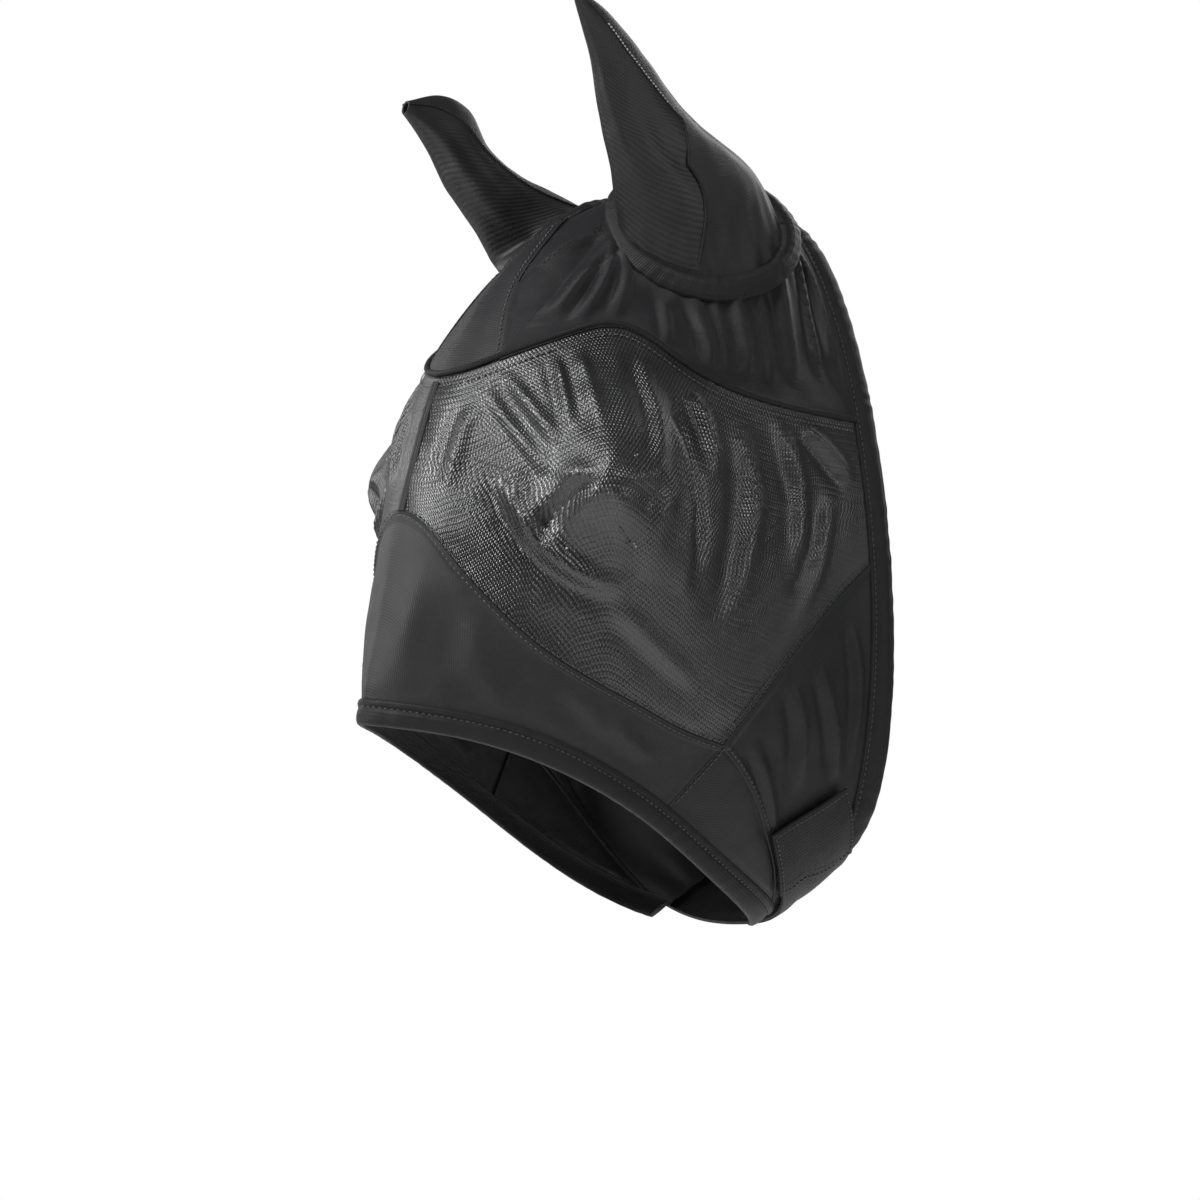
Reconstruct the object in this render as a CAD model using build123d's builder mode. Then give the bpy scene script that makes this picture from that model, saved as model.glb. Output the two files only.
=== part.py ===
from build123d import *
from math import cos, exp, radians, sin
import os

# Fly mask with ear covers. X is the horse's left, -Y its nose, +Z up.
# The origin is the middle of the back edge, where the mask rests on the poll.

# --- cloth and trim (mm) ---
CLOTH = 1.8
TRIM = 1.6
PATCH = 1.4
STRAP_IN = 3.0
STRAP_OUT = 4.8
FIT = 0.02

# --- limits of the cutting prisms, all clear of the mask ---
REACH = 140
FAR = 200
BEHIND = 60
AHEAD = -400
MIDWAY = -200
BELOW = -460
ABOVE = 80
ZONE_TOP = -100

# --- head form: closed sections on planes that fan out from a line across the throat ---
PIVOT_Z = -430
JAW_POWER = 0.55
# fan angle, dorsal radius, throat radius, half width, fullness towards the top, dorsal power
STATIONS = (
    (22, 329, 70, 60, -0.31, 1.36),
    (30, 347, 65, 70, -0.21, 1.26),
    (38, 366, 60, 80, -0.11, 1.15),
    (46, 392, 56, 90, -0.02, 1.04),
    (54, 424, 55, 97, 0.02, 1.12),
    (62, 446, 55, 98, -0.05, 1.30),
    (71, 459, 57, 94, -0.15, 1.35),
    (80, 454, 60, 89, -0.19, 1.13),
    (90, 430, 67, 88, -0.25, 0.85),
)
TURNS = (0, 9, 19, 30, 42, 54, 66, 79, 93, 107, 121, 135, 147, 157, 166, 173, 180)
EYE_FAN = 55.5
EYE_FAN_SPREAD = 5.6
EYE_TURN = 60
EYE_TURN_SPREAD = 14
EYE_OUT = 19.5
EYE_UP = 13

# --- seams drawn from the side (y, z) ---
BACK_BAND = 18
CORNER = (-128, -293)
BROW = ((-290, -102), (-254, -95), (-236, -86), (-204, -73), (-172, -67), (-143, -85),
        (-110, -100), (-60, -110), (20, -118))
NOSE = ((-286, -146), (-278, -168), (-271, -190), (-258, -213), (-238, -236),
        (-210, -256), (-180, -272), (-153, -285), CORNER)
CHEEK = (CORNER, (-97, -259), (-73, -236), (-21, -197), (20, -166))
JAW_FRONT = (CORNER, (-154, -324), (-175, -348))
JAW_REAR = (CORNER, (-108, -312), (-85, -343), (-62, -379), (-48, -420))
HEM_TOP = ((-340, -258), (-302, -266), (-268, -273), (-232, -284), (-198, -300),
           (-160, -322), (-118, -350), (-77, -374), (-30, -397))
HEM_LOW = ((-340, -273), (-304, -280), (-272, -286), (-238, -297), (-205, -312),
           (-168, -333), (-126, -361), (-85, -386), (-36, -411))
EYE_DART = ((-215, -140), (-217, -152), (-213, -164), (-202, -183))
DART_WIDTH = 2.4
PIPING = 4

# --- seams drawn from the front (x, z) ---
GUSSET = ((36, -104), (31, -86), (24, -68), (16, -50), (10, -31), (6, -16), (0, -2))
STRIP = ((14, -45), (16, -30), (18, -12), (19, 0), (19, 40))
CENTRE_TAPE = 3
TAPE_TOP = -99
TAPE_LOW = -163

# --- throat closure ---
GAP_HALF = 42
GAP_TOP = -330
HINGE_X = 62
HINGE_CLEAR = 1.3
STRAP_PLAN = ((-85, -343), (-33, -318), (-7, -357), (8, -380), (-46, -416), (-62, -379))
PATCH_PLAN = ((-79, -344), (-39, -325), (-22, -348), (-22, -372), (-58, -383))
PATCH_X = 66

# --- ear covers ---
CUFF_RADIUS = 6.5
CUFF_CLEAR = 0.4
HOLE_DEPTH = 45
EAR_CLOTH = 1.5
EAR_POINTS = 16
EAR_FIT = 0.01
LEFT_RING = ((40, -98, -9), (11, 52, 4), (22, -2, -33))
RIGHT_RING = ((-46, -118, -24), (-8, 48, 6), (-24, -0.5, -30))
# centre, plane normal, front-to-back radius, side-to-side radius
LEFT_EAR = (
    ((47, -109, 14), (0.45, -0.22, 0.86), 44, 18),
    ((43, -137, 39), (0.10, -0.35, 0.93), 33, 17),
    ((43, -155, 64), (0, -0.37, 0.93), 24, 12),
    ((43, -166, 82), (0, -0.50, 0.87), 17, 9),
    ((44, -183, 104), (0, -0.60, 0.80), 8, 5),
    ((45, -193, 113), (0, -0.70, 0.71), 2.5, 2.2),
)
RIGHT_EAR = (
    ((-53, -139, -4), (-0.42, -0.58, 0.69), 25, 18),
    ((-60, -167, 12), (-0.20, -0.68, 0.70), 21, 15),
    ((-66, -182, 30), (-0.15, -0.64, 0.75), 19, 12),
    ((-70, -192, 45), (-0.12, -0.75, 0.65), 16, 10),
    ((-73, -205, 56), (-0.10, -0.88, 0.46), 11, 7),
    ((-74, -219, 61), (-0.10, -0.96, 0.26), 3.5, 3),
)
LEFT_BASE = (42, 27)
RIGHT_BASE = (36, 26)
# seam between the front and rear of each ear, from the side (y, z)
LEFT_SPLIT = ((-92, -42), (-98, -9), (-118, 20), (-148, 52), (-172, 88), (-200, 124))
RIGHT_SPLIT = ((-100, -60), (-120, -23), (-150, -2), (-181, 28), (-200, 50), (-240, 70))

os.makedirs("parts", exist_ok=True)


def save(part, name):
    part.label = name
    export_step(part, "parts/" + name + ".step")


def wall_point(station, turn):
    """Point of a section, as (across, out from the pivot line)."""
    fan, top, low, half, full, power = station
    c = cos(radians(turn))
    s = sin(radians(turn))
    rise = JAW_POWER + (power - JAW_POWER) * (1 + c) / 2
    bulge = exp(-((fan - EYE_FAN) / EYE_FAN_SPREAD) ** 2 / 2 - ((turn - EYE_TURN) / EYE_TURN_SPREAD) ** 2 / 2)
    across = half * s ** rise * (1 + full * c) + EYE_OUT * bulge * s
    out = (top + low) / 2 + (top - low) / 2 * c + EYE_UP * bulge * s
    return across, out


def offset_point(station, turn, offset):
    """The same point moved square to the cloth by the offset."""
    if turn == 0:
        return 0, station[1] + offset
    if turn == 180:
        return 0, station[2] - offset
    step = 0.5
    ahead = wall_point(station, turn + step)
    behind = wall_point(station, turn - step)
    dx = ahead[0] - behind[0]
    dy = ahead[1] - behind[1]
    size = (dx * dx + dy * dy) ** 0.5
    across, out = wall_point(station, turn)
    return across - dy / size * offset, out + dx / size * offset


def fan_plane(fan):
    a = radians(fan)
    return Plane(origin=(0, 0, PIVOT_Z), x_dir=(1, 0, 0), z_dir=(0, -sin(a), -cos(a)))


def edge_on(face, plane):
    """The edge of a face that lies in a plane."""
    return min(face.edges(), key=lambda e: sum(abs(plane.to_local_coords(e @ t).Z) for t in (0.25, 0.5, 0.75)))


def head_form(offset):
    """Solid head, its skin the given distance outside the cloth's outer face."""
    grid = []
    for station in STATIONS:
        plane = fan_plane(station[0])
        row = [plane.from_local_coords(Vector(*offset_point(station, turn, offset), 0)) for turn in TURNS]
        grid.append(row)
    left = Face.make_surface_from_array_of_points(grid, tol=FIT)
    right = left.mirror(Plane.YZ)
    ends = [fan_plane(STATIONS[i][0]) for i in (0, -1)]
    caps = [Face(Wire([edge_on(left, end), edge_on(right, end)])) for end in ends]
    return Solid(Shell([left, right, *caps]))


def layer(outer, inner):
    with BuildPart() as shell:
        add(outer)
        add(inner, mode=Mode.SUBTRACT)
    return shell.part


def side_prism(curves, closing, side):
    """Prism across X from a side view: splines first, then straight lines back to the start."""
    with BuildPart() as prism:
        with BuildSketch(Plane.YZ):
            with BuildLine():
                for curve in curves:
                    if len(curve) > 2:
                        Spline(*curve)
                    else:
                        Line(*curve)
                Polyline(curves[-1][-1], *closing, curves[0][0])
            make_face()
        if side == 0:
            extrude(amount=REACH, both=True)
        else:
            extrude(amount=REACH * side)
    return prism.part


def front_prism(half_curve, closing):
    """Prism along -Y from a front view, mirrored about the middle."""
    with BuildPart() as prism:
        with BuildSketch(Plane.XZ):
            with BuildLine():
                Spline(*half_curve)
                Polyline(half_curve[-1], *closing, half_curve[0])
            make_face()
            mirror(about=Plane.YZ)
        extrude(amount=3 * REACH)
    return prism.part


def flat_prism(plan, side):
    with BuildPart() as prism:
        with BuildSketch(Plane.YZ):
            with BuildLine():
                Polyline(*plan, plan[0])
            make_face()
        extrude(amount=REACH * side)
    return prism.part


def slab(low, high):
    """Box between two corners."""
    with BuildPart() as block:
        with Locations(((low[0] + high[0]) / 2, (low[1] + high[1]) / 2, (low[2] + high[2]) / 2)):
            Box(high[0] - low[0], high[1] - low[1], high[2] - low[2])
    return block.part


def piece(stock, keep, drop=()):
    """Stock cut to every prism in keep, less every prism in drop."""
    with BuildPart() as cut:
        add(stock)
        for tool in keep:
            add(tool, mode=Mode.INTERSECT)
        for tool in drop:
            add(tool, mode=Mode.SUBTRACT)
    return cut.part


def ring_plane(ring):
    centre, along, down = (Vector(*v) for v in ring)
    normal = along.cross(down)
    return Plane(origin=centre, x_dir=along, z_dir=normal if normal.Z > 0 else normal * -1)


def ear_plane(centre, normal):
    across = Vector(1, 0, 0)
    z_dir = Vector(*normal)
    return Plane(origin=centre, x_dir=across.cross(z_dir) * -1, z_dir=z_dir)


def ear_ring(plane, long, wide):
    """Points round an ellipse, first and last the same."""
    turns = [radians(90 + 360 / EAR_POINTS * i) for i in range(EAR_POINTS + 1)]
    return [plane.from_local_coords(Vector(long * cos(t), wide * sin(t), 0)) for t in turns]


def ear_cone(ring, base, sections, shrink):
    """Horn from the cuff up through the sections, shrunk by the given thickness."""
    foot = ring_plane(ring)
    planes = [ear_plane(centre, normal) for centre, normal, long, wide in sections]
    rows = [ear_ring(foot, base[0] - shrink, base[1] - shrink)]
    for plane, section in zip(planes, sections):
        rows.append(ear_ring(plane, section[2] - shrink, section[3] - shrink))
    wall = Face.make_surface_from_array_of_points(rows, tol=EAR_FIT)
    caps = [Face(Wire([edge_on(wall, end)])) for end in (foot, planes[-1])]
    return Solid(Shell([wall, *caps]))


def ear_loft(ring, base, sections, shrink):
    """The same horn as a loft, for the ear that lies well forward."""
    with BuildPart() as horn:
        with BuildSketch(ring_plane(ring)):
            Ellipse(base[0] - shrink, base[1] - shrink)
        for centre, normal, long, wide in sections:
            with BuildSketch(ear_plane(centre, normal)):
                Ellipse(long - shrink, wide - shrink)
        loft()
    return horn.part


def ear_hole(ring):
    """Opening in the crown under a cuff."""
    along, down = (Vector(*v) for v in ring[1:])
    margin = CUFF_RADIUS + CUFF_CLEAR
    with BuildPart() as hole:
        with BuildSketch(ring_plane(ring)):
            Ellipse(along.length + margin, down.length + margin)
        extrude(amount=HOLE_DEPTH, both=True)
    return hole.part


def cuff_ring(ring):
    """Rolled elastic round the foot of an ear."""
    along, down = (Vector(*v) for v in ring[1:])
    plane = ring_plane(ring)
    start = plane.from_local_coords(Vector(along.length, 0, 0))
    with BuildPart() as cuff:
        with BuildLine(plane):
            EllipticalCenterArc((0, 0), along.length, down.length, arc_size=360)
        with BuildSketch(Plane(origin=start, x_dir=plane.x_dir, z_dir=plane.y_dir)):
            Circle(CUFF_RADIUS)
        sweep()
    return cuff.part


def layer_sum(first, second):
    with BuildPart() as both:
        add(first)
        add(second)
    return both.part


# --- forms and layers ---
form_inner = head_form(-CLOTH)
form_skin = head_form(0)
form_patch = head_form(PATCH)
form_trim = head_form(TRIM)
form_strap_in = head_form(STRAP_IN)
form_strap_out = head_form(STRAP_OUT)

skin = layer(form_skin, form_inner)
bound_skin = layer(form_trim, form_inner)
trim_skin = layer(form_trim, form_skin)

# --- cutting prisms ---
above_hem = side_prism((HEM_TOP,), ((BEHIND, HEM_TOP[-1][1]), (BEHIND, FAR), (HEM_TOP[0][0], FAR)), 0)
above_hem_low = side_prism((HEM_LOW,), ((BEHIND, HEM_LOW[-1][1]), (BEHIND, FAR), (HEM_LOW[0][0], FAR)), 0)
above_brow = side_prism((BROW,), ((BROW[-1][0], FAR), (BROW[0][0], FAR)), 0)
raised_brow = tuple((y, z + PIPING) for y, z in BROW)
above_piping = side_prism((raised_brow,), ((BROW[-1][0], FAR), (BROW[0][0], FAR)), 0)
above_vee = side_prism((NOSE, CHEEK), ((CHEEK[-1][0], FAR), (NOSE[0][0], FAR)), 0)
ahead_of = ((JAW_FRONT[-1][0], BELOW), (AHEAD, BELOW), (AHEAD, ZONE_TOP), (CORNER[0], ZONE_TOP))
behind_of = ((JAW_REAR[-1][0], BELOW), (BEHIND, BELOW), (BEHIND, ZONE_TOP), (CORNER[0], ZONE_TOP))
nose_zone = side_prism((JAW_FRONT,), ahead_of, 0)
cheek_zone = side_prism((JAW_REAR,), behind_of, 0)
back_band = slab((-REACH, -BACK_BAND, BELOW), (REACH, BEHIND, ABOVE))
throat_gap = slab((-GAP_HALF, MIDWAY, BELOW), (GAP_HALF, BEHIND, GAP_TOP))
gusset_prism = front_prism(GUSSET, ((0, GUSSET[0][1]),))
strip_prism = front_prism(STRIP, ((0, STRIP[-1][1]), (0, STRIP[0][1])))
left_half = slab((0, AHEAD, BELOW), (REACH, BEHIND, ABOVE))
right_half = slab((-REACH, AHEAD, BELOW), (0, BEHIND, ABOVE))
left_hole = ear_hole(LEFT_RING)
right_hole = ear_hole(RIGHT_RING)

cloth = piece(skin, (above_hem,), (back_band, throat_gap))
crown = piece(cloth, (above_brow,), (left_hole, right_hole))
mesh = piece(cloth, (above_vee,), (above_brow,))
lower = piece(cloth, (), (above_vee,))
jaw = piece(lower, (), (nose_zone, cheek_zone))
cheek = piece(lower, (cheek_zone,))

# --- cloth panels ---
save(piece(crown, (gusset_prism,)), "forehead_gusset")
save(piece(crown, (strip_prism,), (gusset_prism,)), "poll_strip")
save(piece(lower, (nose_zone,)), "nose_panel")
for half, name in ((left_half, "left"), (right_half, "right")):
    save(piece(crown, (half,), (gusset_prism, strip_prism)), "crown_panel_" + name)
    save(piece(mesh, (half,)), "mesh_panel_" + name)
    save(piece(jaw, (half,)), "jaw_wedge_" + name)
    save(piece(cheek, (half,)), "cheek_panel_" + name)

# --- bindings, piping and tapes ---
save(piece(bound_skin, (above_hem_low,), (above_hem, back_band, throat_gap)), "nose_hem_binding")
save(piece(bound_skin, (back_band,), (throat_gap,)), "back_edge_binding")
save(piece(trim_skin, (above_brow,), (above_piping, back_band)), "brow_piping")
tape_block = slab((-CENTRE_TAPE, AHEAD, TAPE_LOW), (CENTRE_TAPE, MIDWAY, TAPE_TOP))
save(piece(trim_skin, (tape_block,)), "centre_seam_tape")
dart_back = tuple((y + DART_WIDTH, z) for y, z in reversed(EYE_DART))
for side, name in ((1, "left"), (-1, "right")):
    dart_prism = side_prism((EYE_DART, (EYE_DART[-1], dart_back[0]), dart_back), (), side)
    save(piece(trim_skin, (dart_prism,)), "eye_dart_" + name)

# --- throat closure ---
strap_skin = layer(form_strap_out, form_strap_in)
near = slab((HINGE_X + HINGE_CLEAR, MIDWAY, BELOW), (REACH, BEHIND, 0))
far = slab((-REACH, MIDWAY, BELOW), (-HINGE_X - HINGE_CLEAR, BEHIND, 0))
middle = slab((-HINGE_X + HINGE_CLEAR, MIDWAY, BELOW), (HINGE_X - HINGE_CLEAR, BEHIND, MIDWAY))
near_patch = slab((PATCH_X, MIDWAY, BELOW), (REACH, BEHIND, 0))
far_patch = slab((-REACH, MIDWAY, BELOW), (-PATCH_X, BEHIND, 0))
strap_left = flat_prism(STRAP_PLAN, 1)
strap_right = flat_prism(STRAP_PLAN, -1)
patch_left = flat_prism(PATCH_PLAN, 1)
patch_right = flat_prism(PATCH_PLAN, -1)
strap_both = layer_sum(strap_left, strap_right)

save(piece(strap_skin, (strap_both, middle)), "throat_strap")
save(piece(strap_skin, (strap_left, near)), "closure_tab")
save(piece(strap_skin, (strap_right, far)), "strap_root")
save(piece(layer(form_strap_in, form_skin), (patch_right, far_patch)), "root_pad")
save(piece(layer(form_patch, form_skin), (patch_left, near_patch)), "loop_patch")
save(piece(layer(form_strap_in, form_trim), (patch_left, near_patch)), "hook_patch")

# --- ears ---
for name, ring, base, sections, split, shape in (
    ("left", LEFT_RING, LEFT_BASE, LEFT_EAR, LEFT_SPLIT, ear_cone),
    ("right", RIGHT_RING, RIGHT_BASE, RIGHT_EAR, RIGHT_SPLIT, ear_loft),
):
    bag = layer(shape(ring, base, sections, 0), shape(ring, base, sections[:-1], EAR_CLOTH))
    first, last = split[0], split[-1]
    seam = tuple(zip(split[:-1], split[1:]))
    rear = side_prism(seam, ((last[0], FAR), (first[0] + FAR, FAR), (first[0] + FAR, first[1])), 0)
    save(piece(bag, (), (rear,)), "ear_front_" + name)
    save(piece(bag, (rear,)), "ear_rear_" + name)
    save(cuff_ring(ring), "ear_cuff_" + name)
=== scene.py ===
import bpy
import math
import numpy as np
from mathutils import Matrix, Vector


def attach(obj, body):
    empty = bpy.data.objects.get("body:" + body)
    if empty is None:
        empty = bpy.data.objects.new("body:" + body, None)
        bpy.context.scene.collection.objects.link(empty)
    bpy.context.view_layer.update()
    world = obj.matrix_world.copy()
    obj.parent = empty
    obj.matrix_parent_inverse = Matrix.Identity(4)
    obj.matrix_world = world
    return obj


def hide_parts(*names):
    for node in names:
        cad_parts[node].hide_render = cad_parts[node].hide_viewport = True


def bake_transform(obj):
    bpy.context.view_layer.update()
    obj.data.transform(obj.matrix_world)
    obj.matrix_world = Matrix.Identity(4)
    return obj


# Fly mask with ear covers: every cloth panel is a sheet on the head form that the CAD skin follows.
# X is the horse's left, -Y its nose, +Z up. Lengths are in mm here and in metres in the meshes.

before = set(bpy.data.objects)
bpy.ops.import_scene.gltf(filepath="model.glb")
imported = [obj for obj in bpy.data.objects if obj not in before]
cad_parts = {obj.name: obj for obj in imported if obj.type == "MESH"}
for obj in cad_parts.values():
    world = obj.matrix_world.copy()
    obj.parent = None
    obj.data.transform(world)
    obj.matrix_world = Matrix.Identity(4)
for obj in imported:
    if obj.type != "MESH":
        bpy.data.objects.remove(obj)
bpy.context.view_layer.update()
MM = 0.001
MESH_THICK, CLOTH_THICK = 0.7, 1.0
FOLD_SCALE = 1.35
SEAM_STITCH = (3.4, 2.3, 0.32)  # pitch, length and thread radius
RING_STEP = 5  # degrees between the points of an ear ring
RING_COUNT = 360 // RING_STEP

# ---------------------------------------------------------------- head form
PIVOT_Z = -430
JAW_POWER = 0.55
FAN, TOP_R, LOW_R, HALF, FULL, POWER = np.array((
    (22, 329, 70, 60, -0.31, 1.36), (30, 347, 65, 70, -0.21, 1.26), (38, 366, 60, 80, -0.11, 1.15),
    (46, 392, 56, 90, -0.02, 1.04), (54, 424, 55, 97, 0.02, 1.12), (62, 446, 55, 98, -0.05, 1.30),
    (71, 459, 57, 94, -0.15, 1.35), (80, 454, 60, 89, -0.19, 1.13), (90, 430, 67, 88, -0.25, 0.85))).T
EYE_FAN, EYE_FAN_SPREAD, EYE_TURN, EYE_TURN_SPREAD, EYE_OUT, EYE_UP = 55.5, 5.6, 60, 14, 19.5, 13

BACK_Y = -18
CORNER = (-128, -293)
BROW = ((-290, -102), (-254, -95), (-236, -86), (-204, -73), (-172, -67), (-143, -85),
        (-110, -100), (-60, -110), (20, -118))
NOSE = ((-286, -146), (-278, -168), (-271, -190), (-258, -213), (-238, -236),
        (-210, -256), (-180, -272), (-153, -285), CORNER)
CHEEK = (CORNER, (-97, -259), (-73, -236), (-21, -197), (20, -166))
JAW_FRONT = (CORNER, (-154, -324), (-175, -348))
JAW_REAR = (CORNER, (-108, -312), (-85, -343), (-62, -379), (-48, -420))
HEM_TOP = ((-340, -258), (-302, -266), (-268, -273), (-232, -284), (-198, -300),
           (-160, -322), (-118, -350), (-77, -374), (-30, -397))
HEM_LOW = ((-340, -273), (-304, -280), (-272, -286), (-238, -297), (-205, -312),
           (-168, -333), (-126, -361), (-85, -386), (-36, -411))
EYE_DART = ((-215, -140), (-217, -152), (-213, -164), (-202, -183))
GUSSET = ((36, -104), (31, -86), (24, -68), (16, -50), (10, -31), (6, -16), (0, -2))
GAP_HALF = 42
HINGE_X = 62
HINGE_YZ = (-34, -371)

LEFT_RING = ((40, -98, -9), (11, 52, 4), (22, -2, -33))
RIGHT_RING = ((-46, -118, -24), (-8, 48, 6), (-24, -0.5, -30))
LEFT_EAR = (
    ((47, -109, 14), (0.45, -0.22, 0.86), 44, 18), ((43, -137, 39), (0.10, -0.35, 0.93), 33, 17),
    ((43, -155, 64), (0, -0.37, 0.93), 24, 12), ((43, -166, 82), (0, -0.50, 0.87), 17, 9),
    ((44, -183, 104), (0, -0.60, 0.80), 8, 5), ((45, -193, 113), (0, -0.70, 0.71), 2.5, 2.2))
RIGHT_EAR = (
    ((-53, -139, -4), (-0.42, -0.58, 0.69), 25, 18), ((-60, -167, 12), (-0.20, -0.68, 0.70), 21, 15),
    ((-66, -182, 30), (-0.15, -0.64, 0.75), 19, 12), ((-70, -192, 45), (-0.12, -0.75, 0.65), 16, 10),
    ((-73, -205, 56), (-0.10, -0.88, 0.46), 11, 7), ((-74, -219, 61), (-0.10, -0.96, 0.26), 3.5, 3))
LEFT_BASE = (52, 38)
RIGHT_BASE = (47, 37)


def hermite(x, knots, values):
    """Smooth curve through values at uneven knots."""
    slope = np.gradient(values, knots)
    i = np.clip(np.searchsorted(knots, x) - 1, 0, len(knots) - 2)
    h = knots[i + 1] - knots[i]
    s = (x - knots[i]) / h
    return ((2 * s**3 - 3 * s**2 + 1) * values[i] + (s**3 - 2 * s**2 + s) * h * slope[i]
            + (3 * s**2 - 2 * s**3) * values[i + 1] + (s**3 - s**2) * h * slope[i + 1])


def wall(fan, turn):
    """Half width and distance from the pivot line at a fan angle and a turn from the top of the head."""
    top, low, half, full, power = (hermite(fan, FAN, v) for v in (TOP_R, LOW_R, HALF, FULL, POWER))
    c, s = np.cos(np.radians(turn)), np.sin(np.radians(turn))
    rise = JAW_POWER + (power - JAW_POWER) * (1 + c) / 2
    bulge = np.exp(-((fan - EYE_FAN) / EYE_FAN_SPREAD) ** 2 / 2
                   - ((np.abs(turn) - EYE_TURN) / EYE_TURN_SPREAD) ** 2 / 2)
    across = np.sign(s) * np.abs(s) ** rise * half * (1 + full * c) + EYE_OUT * bulge * s
    out = (top + low) / 2 + (top - low) / 2 * c + EYE_UP * bulge * np.abs(s)
    return across, out


def skin(fan, turn):
    fan, turn = np.broadcast_arrays(np.asarray(fan, float), np.asarray(turn, float))
    across, out = wall(fan, turn)
    a = np.radians(fan)
    return np.stack([across, -out * np.cos(a), PIVOT_Z + out * np.sin(a)], -1)


def arc(path):
    """Length along a run of points, from 0."""
    return np.concatenate([[0], np.cumsum(np.linalg.norm(np.diff(path, axis=0), axis=1))])


def unit(v):
    return v / np.maximum(np.linalg.norm(v, axis=-1, keepdims=True), 1e-9)


def facing(fan, turn):
    """Outward normal of the head form."""
    fan = np.clip(fan, 22.2, 89.8)
    du = skin(fan + 0.15, turn) - skin(fan - 0.15, turn)
    dv = skin(fan, turn + 1.2) - skin(fan, turn - 1.2)
    return unit(np.cross(dv, du))


def bisect(test, low, high, steps=44):
    """Where test turns from true to false, point by point."""
    low, high = np.broadcast_arrays(np.asarray(low, float), np.asarray(high, float))
    low, high = low.copy(), high.copy()
    for _ in range(steps):
        mid = (low + high) / 2
        yes = test(mid)
        low, high = np.where(yes, mid, low), np.where(yes, high, mid)
    return (low + high) / 2


def from_side(y, z):
    """Fan and turn of the point that a side view shows at (y, z)."""
    y, z = np.asarray(y, float), np.asarray(z, float)
    fan = np.degrees(np.arctan2(z - PIVOT_Z, -y))
    out = np.hypot(y, z - PIVOT_Z)
    fan_in = np.clip(fan, 22, 90)
    return fan_in, bisect(lambda t: wall(fan_in, t)[1] > out, np.zeros_like(fan), 180)


def from_across(fan, x, low, high):
    """Turn between low and high at which the form is x wide."""
    rising = low < 90
    return bisect(lambda t: (wall(fan, t)[0] < x) == rising, np.full(np.shape(fan), float(low)), high)


def fan_at_y(y, turn):
    low = np.full(np.shape(turn), 50.0)
    return bisect(lambda f: -wall(f, turn)[1] * np.cos(np.radians(f)) < y, low, 90)


def spline(points, count=400):
    """Natural cubic through the points."""
    p = np.asarray(points, float)
    if len(p) == 2:
        return p[0] + (p[1] - p[0]) * np.linspace(0, 1, count)[:, None]
    k = arc(p)
    h = np.diff(k)
    n = len(k)
    m = np.eye(n)
    b = np.zeros_like(p)
    for i in range(1, n - 1):
        m[i, i - 1:i + 2] = h[i - 1], 2 * (h[i - 1] + h[i]), h[i]
        b[i] = 6 * ((p[i + 1] - p[i]) / h[i] - (p[i] - p[i - 1]) / h[i - 1])
    bend = np.linalg.solve(m, b)
    x = np.linspace(0, k[-1], count)
    i = np.clip(np.searchsorted(k, x) - 1, 0, n - 2)
    a, c = ((k[i + 1] - x) / h[i])[:, None], ((x - k[i]) / h[i])[:, None]
    return (a * p[i] + c * p[i + 1]
            + ((a**3 - a) * bend[i] + (c**3 - c) * bend[i + 1]) * (h[i] ** 2)[:, None] / 6)


def resample(path, count):
    """Fan and turn pairs, evenly spaced along the form."""
    s = arc(skin(path[:, 0], path[:, 1]))
    x = np.linspace(0, s[-1], count)
    return np.stack([np.interp(x, s, path[:, i]) for i in (0, 1)], -1)


def length(path):
    return np.linalg.norm(np.diff(skin(path[:, 0], path[:, 1]), axis=0), axis=1).sum()


def seam(points, count=1600):
    """A side-view seam as fan and turn pairs, from the face's middle to the band or throat gap."""
    p = spline(points, count)
    fan, turn = from_side(p[:, 0], p[:, 1])
    inside = np.hypot(p[:, 0], p[:, 1] - PIVOT_Z) <= wall(fan, np.zeros_like(fan))[1] + 0.3
    inside &= p[:, 0] <= BACK_Y + 0.2
    inside &= (p[:, 1] > -330) | (np.abs(skin(fan, turn)[:, 0]) > GAP_HALF)
    return np.stack([fan, turn], -1)[inside]


def cross_point(a, b):
    """Where two traced seams meet."""
    pa, pb = skin(a[:, 0], a[:, 1]), skin(b[:, 0], b[:, 1])
    d = np.linalg.norm(pa[:, None] - pb[None], axis=-1)
    return np.unravel_index(d.argmin(), d.shape)


def back_line(start, end, count):
    """The edge of the back band between two turns."""
    turn = np.linspace(start, end, count)
    return np.stack([fan_at_y(BACK_Y, turn), turn], -1)


def coons(top, bottom, left, right):
    """Grid of fan and turn between four edges; rows run from top to bottom."""
    nu, nv = len(top), len(left)
    u, v = np.linspace(0, 1, nu)[None, :, None], np.linspace(0, 1, nv)[:, None, None]
    g = (1 - v) * top[None] + v * bottom[None] + (1 - u) * left[:, None] + u * right[:, None]
    g -= ((1 - u) * (1 - v) * top[0] + u * (1 - v) * top[-1]
          + (1 - u) * v * bottom[0] + u * v * bottom[-1])
    return g[..., 0], g[..., 1]


# ---------------------------------------------------------------- folds and noise
LATTICE = np.random.RandomState(11).rand(32, 32, 32)


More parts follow.
